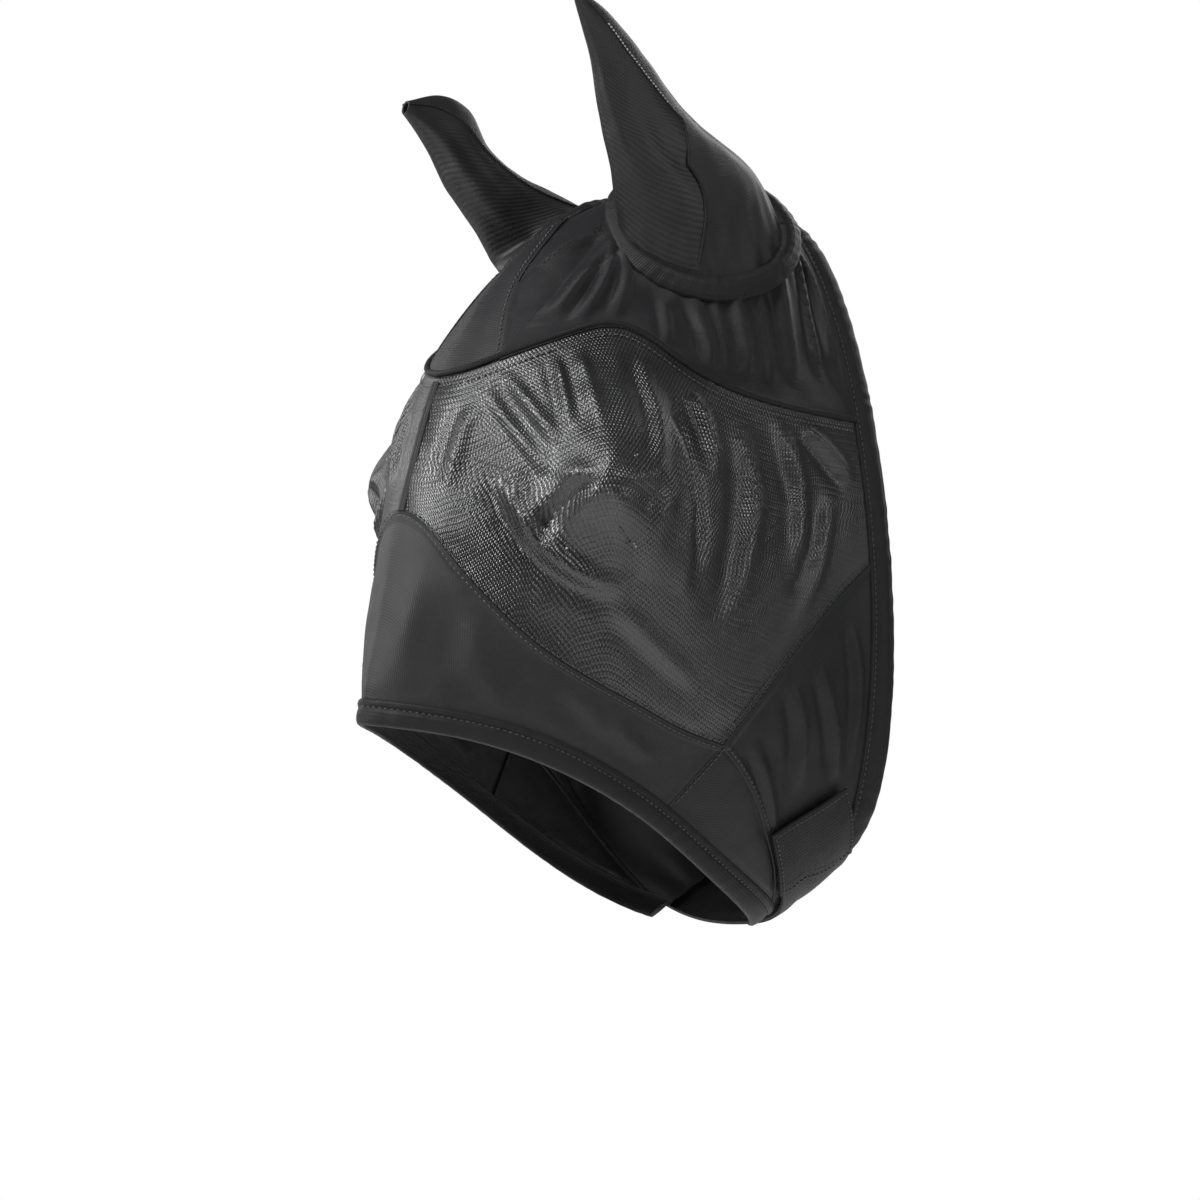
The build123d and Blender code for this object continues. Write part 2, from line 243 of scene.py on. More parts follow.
def noise(p, size):
    """Smooth noise from -1 to 1, with cells of the given size in mm."""
    q = np.asarray(p, float) / size
    i = np.floor(q).astype(int)
    f = q - i
    f = f * f * (3 - 2 * f)
    total = 0
    for dx in (0, 1):
        for dy in (0, 1):
            for dz in (0, 1):
                w = ((f[..., 0] if dx else 1 - f[..., 0]) * (f[..., 1] if dy else 1 - f[..., 1])
                     * (f[..., 2] if dz else 1 - f[..., 2]))
                cell = tuple((i[..., k] + step) % 32 for k, step in enumerate((dx, dy, dz)))
                total = total + w * LATTICE[cell]
    return total * 2 - 1


def ease(x):
    x = np.clip(x, 0, 1)
    return x * x * (3 - 2 * x)


def fold_height(p, n, folds):
    """Sum of folds: side-view points, width and height in mm, a soft valley beside each ridge."""
    total = np.zeros(p.shape[:-1])
    for points, width, height in folds:
        side = spline(points, 26)
        f, t = from_side(side[:, 0], side[:, 1])
        line = skin(f, t)
        d = p[..., None, :] - line
        far = np.linalg.norm(d, axis=-1)
        k = far.argmin(-1)
        near = np.take_along_axis(far, k[..., None], -1)[..., 0]
        along = unit(np.gradient(line, axis=0))[k]
        off = np.take_along_axis(d, k[..., None, None], -2)[..., 0, :]
        hand = np.sign((np.cross(along, n) * off).sum(-1))
        s = k / (len(line) - 1)
        taper = ease(s * 3.2) * ease((1 - s) * 2.6) + 0.25 * ease(s * 8) * ease((1 - s) * 8)
        signed = near * hand
        total += height * taper * (np.exp(-(signed / width) ** 2)
                                   - 0.55 * np.exp(-((signed - 1.5 * width) / (1.1 * width)) ** 2))
    return total


CROWN_FOLDS = (
    (((-149, -15), (-177, -37), (-208, -63)), 4.5, 2.6),
    (((-149, -18), (-174, -45), (-199, -68)), 3.6, 2.4),
    (((-146, -21), (-161, -45), (-178, -64)), 3.4, 2.0),
    (((-146, -7), (-168, -16), (-196, -33)), 4.5, 1.8),
    (((-122, -52), (-120, -74), (-123, -90)), 4.2, 2.2),
    (((-94, -48), (-92, -70), (-98, -94)), 4.6, 2.6),
    (((-62, -38), (-58, -63), (-63, -97)), 4.2, 2.0),
    (((-140, -50), (-143, -64), (-148, -76)), 2.8, 1.3),
    (((-27, 0), (-24, -44), (-27, -85)), 3.6, 1.6),
    (((-40, -10), (-38, -50), (-40, -98)), 3.0, 1.3),
    (((-108, -50), (-106, -72), (-110, -92)), 3.0, 1.5),
    (((-78, -45), (-75, -68), (-80, -98)), 3.0, 1.4))
MESH_FOLDS = (
    (((-237, -90), (-233, -110), (-226, -136)), 4.2, 2.2),
    (((-247, -97), (-243, -118), (-232, -150)), 3.6, 1.3),
    (((-201, -77), (-207, -105), (-212, -132)), 4.4, 1.6),
    (((-213, -82), (-218, -105), (-222, -124)), 3.2, 1.4),
    (((-167, -79), (-177, -118), (-194, -155)), 5.0, 1.6),
    (((-157, -98), (-156, -133), (-155, -171), (-162, -214)), 7.0, -3.4),
    (((-143, -100), (-136, -120), (-139, -150)), 5.5, 2.6),
    (((-112, -112), (-107, -148), (-119, -192), (-134, -235)), 8.0, 2.4),
    (((-62, -117), (-45, -130), (-26, -150)), 5.0, 2.6),
    (((-249, -143), (-241, -177), (-222, -199), (-196, -209)), 6.0, 3.0),
    (((-83, -109), (-69, -159), (-83, -208)), 6.5, 1.9),
    (((-205, -214), (-175, -241), (-147, -262)), 6.0, 1.5),
    (((-251, -107), (-261, -134), (-268, -156)), 5.0, 1.6),
    (((-43, -147), (-57, -192), (-84, -230)), 6.0, 1.8),
    (((-212, -150), (-228, -163), (-240, -190)), 5.0, -2.2),
    (((-176, -150), (-188, -170), (-190, -205)), 6.0, 1.4))
CHEEK_FOLDS = (
    (((-61, -250), (-47, -281), (-38, -315)), 4.2, 2.2),
    (((-83, -258), (-72, -286), (-68, -322)), 4.6, 2.2),
    (((-107, -290), (-91, -318), (-78, -350)), 4.0, 1.8),
    (((-34, -222), (-26, -262), (-27, -310)), 3.8, 1.6))
NOSE_FOLDS = (
    (((-278, -190), (-287, -225), (-294, -256)), 9.0, 0.9),
    (((-264, -219), (-260, -245), (-244, -276)), 9.0, 1.2),
    (((-224, -256), (-201, -278), (-168, -304)), 6.0, 1.3),
    (((-200, -268), (-188, -284), (-168, -300)), 4.0, 0.8))


# ---------------------------------------------------------------- mesh building
def mesh_object(name, verts, faces, uv=None):
    name = "soft_" + name
    me = bpy.data.meshes.new(name)
    me.from_pydata((np.asarray(verts) * MM).tolist(), [], faces)
    me.update()
    if uv is not None:
        layer = me.uv_layers.new(name="Cloth")
        corner = np.zeros(len(me.loops), int)
        me.loops.foreach_get("vertex_index", corner)
        layer.data.foreach_set("uv", np.asarray(uv, np.float32)[corner].ravel())
    me.polygons.foreach_set("use_smooth", [True] * len(me.polygons))
    me.set_sharp_from_angle(angle=math.radians(62))
    ob = bpy.data.objects.new(name, me)
    bpy.context.scene.collection.objects.link(ob)
    return ob


def grid_faces(rows, cols, wrap=False, start=0, flip=False):
    faces = []
    for i in range(rows - 1):
        for j in range(cols if wrap else cols - 1):
            k = (j + 1) % cols
            one, two = start + i * cols, start + (i + 1) * cols
            f = (one + j, two + j, two + k, one + k)
            faces.append(f[::-1] if flip else f)
    return faces


def end_caps(count, sides, start=0):
    """The two end faces of a tube."""
    last = start + (count - 1) * sides
    return [tuple(range(start, start + sides)), tuple(range(last, last + sides))[::-1]]


def grid_normals(p, wrap=False):
    if wrap:
        q = np.concatenate([p[:, -1:], p, p[:, :1]], 1)
        du = (q[:, 2:] - q[:, :-2])
    else:
        du = np.gradient(p, axis=1)
    dv = np.gradient(p, axis=0)
    return unit(np.cross(dv, du))


def grid_arcs(p):
    """Lengths along the rows and down the columns of a grid, from 0."""
    d = np.linalg.norm(np.diff(p, axis=1), axis=-1)
    e = np.linalg.norm(np.diff(p, axis=0), axis=-1)
    return (np.concatenate([np.zeros((len(p), 1)), np.cumsum(d, 1)], 1),
            np.concatenate([np.zeros((1, p.shape[1])), np.cumsum(e, 0)], 0))


def arc_uv(p, wrap=False):
    """Arc lengths over a grid in metres, so that a weave keeps its size."""
    u, v = grid_arcs(p)
    if not wrap:
        u = u - u[:, -1:] / 2
    return np.stack([u, v], -1) * MM


def cloth(name, p, thick, wrap=False, flip=False):
    """A closed sheet from a grid of outer points in mm, with its inner face the thickness below."""
    rows, cols = p.shape[:2]
    n = grid_normals(p, wrap) * (-1 if flip else 1)
    inner = p - n * thick
    uv = arc_uv(p, wrap).reshape(-1, 2)
    count = rows * cols
    faces = grid_faces(rows, cols, wrap, 0, flip) + grid_faces(rows, cols, wrap, count, not flip)
    across = range(cols if wrap else cols - 1)
    rim = [(i * cols + j, i * cols + (j + 1) % cols) for i in (0, rows - 1) for j in across]
    for a, b in rim[: len(rim) // 2]:
        f = (a, b, count + b, count + a)
        faces.append(f[::-1] if flip else f)
    for a, b in rim[len(rim) // 2:]:
        f = (b, a, count + a, count + b)
        faces.append(f[::-1] if flip else f)
    if not wrap:
        for i in range(rows - 1):
            for j, turned in ((0, flip), (cols - 1, not flip)):
                a, b = i * cols + j, (i + 1) * cols + j
                f = (b, a, count + a, count + b)
                faces.append(f[::-1] if turned else f)
    verts = np.concatenate([p.reshape(-1, 3), inner.reshape(-1, 3)])
    ob = mesh_object(name, verts, faces, np.concatenate([uv, uv]))
    row = np.linalg.norm(np.diff(p, axis=1), axis=-1).sum(1).max()
    col = np.linalg.norm(np.diff(p, axis=0), axis=-1).sum(0).max()
    a, b, c, d = p[:-1, :-1], p[1:, :-1], p[1:, 1:], p[:-1, 1:]
    halves = [np.linalg.norm(np.cross(v, w), axis=-1) for v, w in ((b - a, c - a), (c - a, d - a))]
    area = (halves[0] + halves[1]).sum() / 2
    ob["w"], ob["l"], ob["a"] = row * MM, col * MM, area * MM * MM
    return ob


TUBE_UP = np.array([0.13, 0.31, 0.94])  # no tube runs along this direction


def mirrored(p):
    return p * np.array([-1, 1, 1])


def tube(name, path, radius, sides=12, lumps=0.0):
    """Round roll along points in mm; radius may vary along it."""
    count = len(path)
    t = unit(np.gradient(path, axis=0))
    a = unit(np.cross(t, TUBE_UP))
    b = np.cross(t, a)
    r = np.broadcast_to(np.asarray(radius, float), (count,))
    th = np.linspace(0, 2 * np.pi, sides, endpoint=False)
    round_it = a[:, None] * np.cos(th)[None, :, None] + b[:, None] * np.sin(th)[None, :, None]
    p = path[:, None] + round_it * r[:, None, None]
    swell = 1 + lumps * noise(p, 5.0) + 0.6 * lumps * noise(p + 40, 2.4)
    p = path[:, None] + (p - path[:, None]) * swell[..., None]
    faces = grid_faces(count, sides, True) + end_caps(count, sides)
    along = np.broadcast_to(arc(path)[:, None], (count, sides))
    uv = np.stack([along, np.broadcast_to(th * r.mean(), (count, sides))], -1) * MM
    return mesh_object(name, p.reshape(-1, 3), faces, uv.reshape(-1, 2))


DASH_LIFT, DASH_WIDTH = (-0.25, 0.12, 0.22, 0.12, -0.25), (0.45, 0.95, 1.05, 0.95, 0.45)


def stitches(name, runs, pitch, size, radius):
    """Thread dashes along runs of (points, normals) in mm."""
    verts, faces = [], []
    ring = np.array([(math.cos(a), math.sin(a)) for a in np.linspace(0, 2 * math.pi, 5, endpoint=False)])
    for path, normal in runs:
        s = arc(path)
        for k in range(int(s[-1] / pitch)):
            at = [k * pitch + size * f for f in (0.0, 0.18, 0.5, 0.82, 1.0)]
            pts = np.array([[np.interp(x, s, path[:, i]) for i in range(3)] for x in at])
            nrm = unit(np.array([np.interp(at[2], s, normal[:, i]) for i in range(3)]))
            along = unit(pts[-1] - pts[0])
            side = np.cross(along, nrm)
            base = len(verts)
            for q, lift, wide in zip(pts, DASH_LIFT, DASH_WIDTH):
                for c, d in ring:
                    verts.append(q + nrm * (lift + radius * d * wide) + side * radius * 1.25 * c * wide)
            faces += grid_faces(len(at), len(ring), True, base) + end_caps(len(at), len(ring), base)
    return mesh_object(name, np.array(verts), faces)


# ---------------------------------------------------------------- materials
def socket(bsdf, **values):
    for key, value in values.items():
        bsdf.inputs[key.replace("_", " ")].default_value = value


class Shade:
    """A small node tree for one cloth."""

    def __init__(self, name, rough, sheen, specular, alpha=1.0):
        self.mat = bpy.data.materials.new(name)
        self.mat.use_nodes = True
        self.nt = self.mat.node_tree
        self.bsdf = self.nt.nodes["Principled BSDF"]
        socket(self.bsdf, Roughness=rough, Sheen_Weight=sheen, Specular_IOR_Level=specular, Alpha=alpha)
        self.bsdf.inputs["Sheen Roughness"].default_value = 0.45
        self.bsdf.inputs["Sheen Tint"].default_value = (0.75, 0.78, 0.82, 1)
        uv = self.nt.nodes.new("ShaderNodeUVMap")
        uv.uv_map = "Cloth"
        split = self.nt.nodes.new("ShaderNodeSeparateXYZ")
        self.nt.links.new(uv.outputs[0], split.inputs[0])
        self.u, self.v = split.outputs[0], split.outputs[1]
        self.place = self.nt.nodes.new("ShaderNodeTexCoord").outputs["Object"]

    def math(self, op, a, b=0.0, clamp=False):
        node = self.nt.nodes.new("ShaderNodeMath")
        node.operation = op
        node.use_clamp = clamp
        for i, x in enumerate((a, b)):
            if isinstance(x, (int, float)):
                node.inputs[i].default_value = x
            else:
                self.nt.links.new(x, node.inputs[i])
        return node.outputs[0]

    def wave(self, coord, period, shift=0.0):
        """Ribs from 0 to 1 with a period in metres."""
        s = self.math("SINE", self.math("ADD", self.math("MULTIPLY", coord, 2 * math.pi / period), shift))
        return self.math("ADD", self.math("MULTIPLY", s, 0.5), 0.5)

    def noise(self, scale, detail=3.0, rough=0.55, stretch=None):
        node = self.nt.nodes.new("ShaderNodeTexNoise")
        socket(node, Scale=scale, Detail=detail, Roughness=rough)
        place = self.place
        if stretch:
            mapping = self.nt.nodes.new("ShaderNodeMapping")
            mapping.inputs["Scale"].default_value = stretch
            self.nt.links.new(place, mapping.inputs[0])
            place = mapping.outputs[0]
        self.nt.links.new(place, node.inputs["Vector"])
        return node.outputs[0]

    def cells(self, scale):
        node = self.nt.nodes.new("ShaderNodeTexVoronoi")
        node.inputs["Scale"].default_value = scale
        self.nt.links.new(self.place, node.inputs["Vector"])
        return node.outputs["Distance"]

    def colour(self, factor, dark, light):
        ramp = self.nt.nodes.new("ShaderNodeValToRGB")
        ramp.color_ramp.elements[0].position, ramp.color_ramp.elements[1].position = 0.15, 0.85
        ramp.color_ramp.elements[0].color, ramp.color_ramp.elements[1].color = (*dark, 1), (*light, 1)
        self.nt.links.new(factor, ramp.inputs[0])
        self.nt.links.new(ramp.outputs[0], self.bsdf.inputs["Base Color"])

    def rough(self, factor, low, high):
        node = self.nt.nodes.new("ShaderNodeMapRange")
        node.inputs["To Min"].default_value, node.inputs["To Max"].default_value = low, high
        self.nt.links.new(factor, node.inputs["Value"])
        self.nt.links.new(node.outputs[0], self.bsdf.inputs["Roughness"])

    def bump(self, height, distance, strength=0.6):
        node = self.nt.nodes.new("ShaderNodeBump")
        socket(node, Strength=strength, Distance=distance)
        self.nt.links.new(height, node.inputs["Height"])
        self.nt.links.new(node.outputs[0], self.bsdf.inputs["Normal"])


def mix_of(shade, *parts):
    """Weighted sum of factors."""
    total = None
    for value, weight in parts:
        term = shade.math("MULTIPLY", value, weight)
        total = term if total is None else shade.math("ADD", total, term)
    return total


def lycra(name, dark, light, rough, sheen=0.03):
    s = Shade(name, rough, sheen, 0.26)
    rib = s.wave(s.u, 0.0011)
    course = s.wave(s.v, 0.0016)
    cloud = s.noise(38, 4)
    fuzz = s.noise(900, 2)
    streak = s.noise(60, 3, 0.6, (1, 1, 7))
    tone = mix_of(s, (rib, 0.16), (course, 0.12), (cloud, 0.42), (fuzz, 0.12), (streak, 0.18))
    s.colour(tone, dark, light)
    s.rough(cloud, rough - 0.06, rough + 0.08)
    s.bump(mix_of(s, (rib, 0.5), (course, 0.35), (fuzz, 0.35)), 0.0003, 0.5)
    return s.mat


def fly_mesh(name, dark, light, rough, alpha):
    s = Shade(name, rough, 0.01, 0.62, alpha)
    a = s.wave(s.math("ADD", s.u, s.math("MULTIPLY", s.v, 0.55)), 0.0021)
    b = s.wave(s.math("SUBTRACT", s.u, s.math("MULTIPLY", s.v, 0.55)), 0.0021)
    hole = s.math("MULTIPLY", a, b)
    line = s.wave(s.v, 0.0034)
    cloud = s.noise(30, 4)
    fuzz = s.noise(700, 2)
    s.colour(mix_of(s, (hole, 0.5), (line, 0.18), (cloud, 0.34), (fuzz, 0.08)), dark, light)
    s.rough(mix_of(s, (cloud, 0.7), (hole, 0.3)), rough - 0.05, rough + 0.10)
    s.bump(mix_of(s, (hole, 0.8), (line, 0.3), (fuzz, 0.2)), 0.0005, 0.6)
    return s.mat


def ribbed_mesh(name, dark, light, rough):
    s = Shade(name, rough, 0.02, 0.3)
    rib = s.wave(s.v, 0.0034)
    fine = s.wave(s.u, 0.0016)
    cloud = s.noise(45, 4)
    s.colour(mix_of(s, (rib, 0.34), (fine, 0.16), (cloud, 0.48)), dark, light)
    s.rough(cloud, rough - 0.05, rough + 0.08)
    s.bump(mix_of(s, (rib, 0.9), (fine, 0.35)), 0.0003, 0.45)
    return s.mat


def binding_tape(name, dark, light, rough):
    s = Shade(name, rough, 0.03, 0.2)
    rib = s.wave(s.u, 0.0013)
    line = s.wave(s.v, 0.0022)
    cloud = s.noise(55, 4)
    fuzz = s.noise(1100, 2)
    s.colour(mix_of(s, (rib, 0.26), (line, 0.1), (cloud, 0.44), (fuzz, 0.18)), dark, light)
    s.rough(cloud, rough - 0.05, rough + 0.06)
    s.bump(mix_of(s, (rib, 0.6), (line, 0.3), (fuzz, 0.4)), 0.0004, 0.6)
    return s.mat


def pile(name, dark, light, rough, scale, depth):
    s = Shade(name, rough, 0.10, 0.3)
    dots = s.cells(scale)
    fuzz = s.noise(800, 3)
    s.colour(mix_of(s, (dots, 0.8), (fuzz, 0.4)), dark, light)
    s.rough(fuzz, rough - 0.05, rough + 0.05)
    s.bump(mix_of(s, (dots, 1.0), (fuzz, 0.5)), depth, 0.8)
    return s.mat


def thread_mat(name, dark, light):
    s = Shade(name, 0.45, 0.1, 0.5)
    twist = s.noise(1600, 2)
    s.colour(twist, dark, light)
    s.rough(twist, 0.38, 0.55)
    s.bump(twist, 0.0002, 0.5)
    return s.mat


MATS = {
    "lycra": lycra("crown_lycra", (0.0035, 0.0035, 0.004), (0.013, 0.013, 0.0145), 0.46),
    "nose": lycra("nose_lycra", (0.006, 0.006, 0.0065), (0.020, 0.020, 0.0215), 0.50),
    "mesh": fly_mesh("fly_mesh", (0.002, 0.002, 0.0023), (0.024, 0.024, 0.0255), 0.30, 0.95),
    "ear_mesh": ribbed_mesh("ear_ribbed_mesh", (0.004, 0.004, 0.0045), (0.017, 0.017, 0.018), 0.48),
    "binding": binding_tape("binding_tape", (0.003, 0.003, 0.0035), (0.011, 0.011, 0.012), 0.52),
    "cuff": binding_tape("cuff_roll", (0.003, 0.003, 0.0035), (0.011, 0.011, 0.012), 0.50),
    "loop": pile("loop_pile", (0.003, 0.003, 0.0035), (0.018, 0.018, 0.019), 0.85, 900, 0.0008),
    "hook": pile("hook_tape", (0.008, 0.008, 0.009), (0.050, 0.050, 0.052), 0.5, 620, 0.0010),
    "thread": thread_mat("sewing_thread", (0.006, 0.006, 0.0065), (0.030, 0.030, 0.032)),
    # pale thread for the ear seam and eye dart stitches: its light colour is painted highlight, standing in
    # for the glint along the stitches
    "highlight_thread": thread_mat("pale_thread_with_painted_highlight", (0.10, 0.10, 0.10), (0.36, 0.36, 0.37)),
}


def dress(ob, look, body=None, nodes=(), between=None):
    """Gives a piece its cloth and body, and hides its CAD nodes."""
    ob.data.materials.append(MATS[look])
    if between:
        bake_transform(ob)
    else:
        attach(ob, body)
    if nodes:
        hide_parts(*nodes)
    return ob


# ---------------------------------------------------------------- seams on the form
brow = seam(BROW)
nose = seam(NOSE)
cheek = seam(CHEEK)
hem_top = seam(HEM_TOP)
hem_low = seam(HEM_LOW)
jaw_front = seam(JAW_FRONT)
jaw_rear = seam(JAW_REAR)

corner = np.array(from_side(*np.array([[CORNER[0]], [CORNER[1]]])))[:, 0]


def edge_distance(p, side):
    u, v = grid_arcs(p)
    return {"l": u, "r": u[:, -1:] - u, "t": v, "b": v[-1:] - v}[side]


def edge_fade(p, width, sides):
    """0 on the named edges of a grid and 1 a few mm in."""
    out = np.ones(p.shape[:2])
    for side in "lrtb":
        if side in sides:
            out = out * ease(edge_distance(p, side) / width)
    return out


def lay(fan, turn, folds, fade_sides, ripple, fade, extra=None, lift=0.0, hems=()):
    """Points of a panel: the form, plus folds and small wrinkles, in mm."""
    base = skin(fan, turn)
    n = facing(fan, turn)
    h = FOLD_SCALE * fold_height(base, n, folds) if folds else 0
    h = h + ripple * (noise(base, 34) * 1.3 + noise(base + 90, 15) * 0.6 + noise(base + 30, 7) * 0.22)
    if extra is not None:
        h = h + extra(base)
    h = h * edge_fade(base, fade, fade_sides)
    for side, width, height in hems:
        far = edge_distance(base, side)
        h = h + height * (1 - ease((far - width) / 1.2)) * ease(far / 0.8 + 0.4)
    return base + n * (h + lift)[..., None]


def both_sides(name, p, thick, look):
    """The left panel and its mirror image."""
    for side, q, flip in (("left", p, False), ("right", mirrored(p), True)):
        ob = cloth(f"{name}_{side}", q, thick, flip=flip)
        dress(ob, look, body="hood", nodes=(f"{name}_{side}",))


def on_skin(path, off):
    n = facing(path[:, 0], path[:, 1])
    return skin(path[:, 0], path[:, 1]) + n * off, n


def whole(path):
    """A run from the middle of the head, after its mirror image."""
    return np.concatenate([path[:0:-1] * np.array([1, -1]), path])


def mirror_run(run):
    return mirrored(run[0]), mirrored(run[1])


# ---------------------------------------------------------------- mesh panels
NU, NV = 190, 120
top = resample(brow, NU)
k_nose = int(round(NU * length(nose) / (length(nose) + length(cheek))))
bottom = np.concatenate([resample(nose, k_nose), resample(cheek, NU - k_nose + 1)[1:]])
left_edge = np.stack([np.linspace(top[0, i], bottom[0, i], NV) for i in (0, 1)], -1)
right_edge = back_line(top[-1, 1], bottom[-1, 1], NV)
top[-1], bottom[-1] = right_edge[0], right_edge[-1]
mesh_fan, mesh_turn = coons(top, bottom, left_edge, right_edge)
EYE = skin(*from_side(np.array([-212.0]), np.array([-152.0])))[0]
EYE_CONE = 17


def eye_pucker(p):
    d = p - EYE
    r = np.linalg.norm(d, axis=-1)
    around = np.arctan2(d[..., 2], d[..., 1])
    cone = EYE_CONE * np.exp(-(r / 25) ** 1.35)
    rays = 1.2 * np.sin(5 * around + 0.6) * np.exp(-((r - 17) / 13) ** 2)
    return cone + rays - 1.6 * np.exp(-(r / 5) ** 2)


mesh_p = lay(mesh_fan, mesh_turn, MESH_FOLDS, "tbr", 1.0, 10, eye_pucker)
both_sides("mesh_panel", mesh_p, MESH_THICK, "mesh")

# ---------------------------------------------------------------- nose panel, across the middle
corner_hem = cross_point(jaw_front, hem_top)
front_side = resample(jaw_front[: corner_hem[0] + 1], 70)
nose_low = resample(hem_top[: corner_hem[1] + 1], 120)
nose_top = resample(nose, 120)
nose_left = np.stack([np.linspace(nose_top[0, i], nose_low[0, i], 70) for i in (0, 1)], -1)
front_side[0], front_side[-1] = nose_top[-1], nose_low[-1]
nose_fan, nose_turn = coons(nose_top, nose_low, nose_left, front_side)
half = lay(nose_fan, nose_turn, NOSE_FOLDS, "tbr", 0.7, 9, hems=(("t", 3.2, 0.7), ("r", 3.0, 0.6)))
half[:, 0, 0] = 0
nose_p = np.concatenate([mirrored(half)[:, :0:-1], half], 1)
dress(cloth("nose_panel", nose_p, CLOTH_THICK), "nose", body="hood", nodes=("nose_panel",))

# ---------------------------------------------------------------- jaw wedges
rear_hem = cross_point(jaw_rear, hem_top)
wedge_low = resample(hem_top[corner_hem[1]: rear_hem[1] + 1], 50)
rear_side = resample(jaw_rear[: rear_hem[0] + 1], 80)
front80 = resample(jaw_front[: corner_hem[0] + 1], 80)
apex = np.repeat(corner[None], 50, 0)
front80[0], rear_side[0] = corner, corner
front80[-1], rear_side[-1] = wedge_low[0], wedge_low[-1]
wedge_fan, wedge_turn = coons(apex, wedge_low, front80, rear_side)
wedge_p = lay(wedge_fan[1:], wedge_turn[1:], CHEEK_FOLDS, "blr", 0.5, 7)
both_sides("jaw_wedge", wedge_p, CLOTH_THICK, "lycra")

# ---------------------------------------------------------------- cheek panels
cheek_top = resample(cheek, 110)
gap_hem = hem_top[rear_hem[1]:]
gap_end = gap_hem[-1]
low_fan = np.linspace(gap_end[0], 77.0, 60)
gap_edge = np.stack([low_fan, from_across(low_fan, GAP_HALF, 91, 180)], -1)
inside = skin(gap_edge[:, 0], gap_edge[:, 1])[:, 1] < BACK_Y
gap_edge = gap_edge[inside]
cheek_low = np.concatenate([gap_hem, gap_edge[1:]])
cheek_low = resample(cheek_low, 110)
cheek_back = back_line(cheek_top[-1, 1], cheek_low[-1, 1], 100)
cheek_front = resample(jaw_rear[: rear_hem[0] + 1], 100)
cheek_top[0] = cheek_front[0] = corner
cheek_low[0] = cheek_front[-1]
cheek_top[-1], cheek_low[-1] = cheek_back[0], cheek_back[-1]
cheek_fan, cheek_turn = coons(cheek_top, cheek_low, cheek_front, cheek_back)
cheek_p = lay(cheek_fan, cheek_turn, CHEEK_FOLDS, "tblr", 0.6, 8, hems=(("t", 3.6, 0.8), ("l", 3.0, 0.7)))
both_sides("cheek_panel", cheek_p, CLOTH_THICK, "lycra")

# ---------------------------------------------------------------- forehead gusset
gusset_line = spline(GUSSET, 500)


def from_front(x, z):
    """Fan and turn of the point near the top of the head that a front view shows at (x, z)."""
    x, z = np.asarray(x, float), np.asarray(z, float)

    def below(fan):
        t = from_across(fan, np.maximum(x, 0.01), 0.0, 88)
        return skin(fan, t)[:, 2] < z
    fan = bisect(below, np.full(x.shape, 42.0), 79)
    return np.stack([fan, from_across(fan, np.maximum(x, 0.01), 0.0, 88)], -1)


gusset_path = from_front(gusset_line[:, 0], gusset_line[:, 1])
gi, bi = cross_point(gusset_path, brow)
gusset_path = resample(gusset_path[gi:], 90)
gusset_brow = resample(brow[: bi + 1], 40)
rows = 90
u = np.linspace(-1, 1, 61)
centre_fan = np.linspace(brow[0, 0], gusset_path[-1, 0], rows)
gf = centre_fan[:, None] + (gusset_path[:, 0] - centre_fan)[:, None] * (np.abs(u) ** 1.6)[None]
gt = gusset_path[:, 1][:, None] * u[None]
first = np.interp(np.abs(u) * gusset_brow[-1, 1], gusset_brow[:, 1], gusset_brow[:, 0])
gf[0] = first
for i in range(1, 12):
    plain = centre_fan[0] + (gusset_path[0, 0] - centre_fan[0]) * np.abs(u) ** 1.6
    gf[i] += (first - plain) * (1 - i / 12)
gusset_p = lay(gf[::-1], gt[::-1], (), "tblr", 0.55, 6)
dress(cloth("forehead_gusset", gusset_p, CLOTH_THICK), "lycra", body="hood", nodes=("forehead_gusset",))

# ---------------------------------------------------------------- poll strip, under the gusset's tip
strip_fan = np.concatenate([np.linspace(gusset_path[0, 0] + 4, 79, 60), np.linspace(79, 87.4, 24)[1:]])
strip_x = np.interp(strip_fan, (60, 68, 74, 90), (13, 16, 19, 19))
strip_t = from_across(strip_fan, strip_x, 0.0, 88)
sf = np.repeat(strip_fan[:, None], 33, 1)
st = strip_t[:, None] * np.linspace(-1, 1, 33)[None]
strip_p = lay(sf[::-1], st[::-1], (), "lr", 0.5, 5, lift=-1.1)
dress(cloth("poll_strip", strip_p, CLOTH_THICK), "lycra", body="hood", nodes=("poll_strip",))

# ---------------------------------------------------------------- crown panels, round the foot of each ear
FAN_MM, TURN_MM = 7.7, 1.7


def ring_points(ring, turn):
    """Points of a cuff's centre line; turn 0 is its back, 180 its front."""
    centre, along, down = (np.array(v, float) for v in ring)
    across = ring_axes(ring)[2] * np.linalg.norm(down)
    a = np.radians(turn)[..., None]
    return centre + along * np.cos(a) + across * np.sin(a)


def ring_axes(ring):
    """Length direction, outward normal and width direction of a cuff."""
    _, along, down = (np.array(v, float) for v in ring)
    normal = np.cross(along, down)
    normal = unit(normal if normal[2] > 0 else -normal)
    x = unit(along)
    return x, normal, np.cross(normal, x)


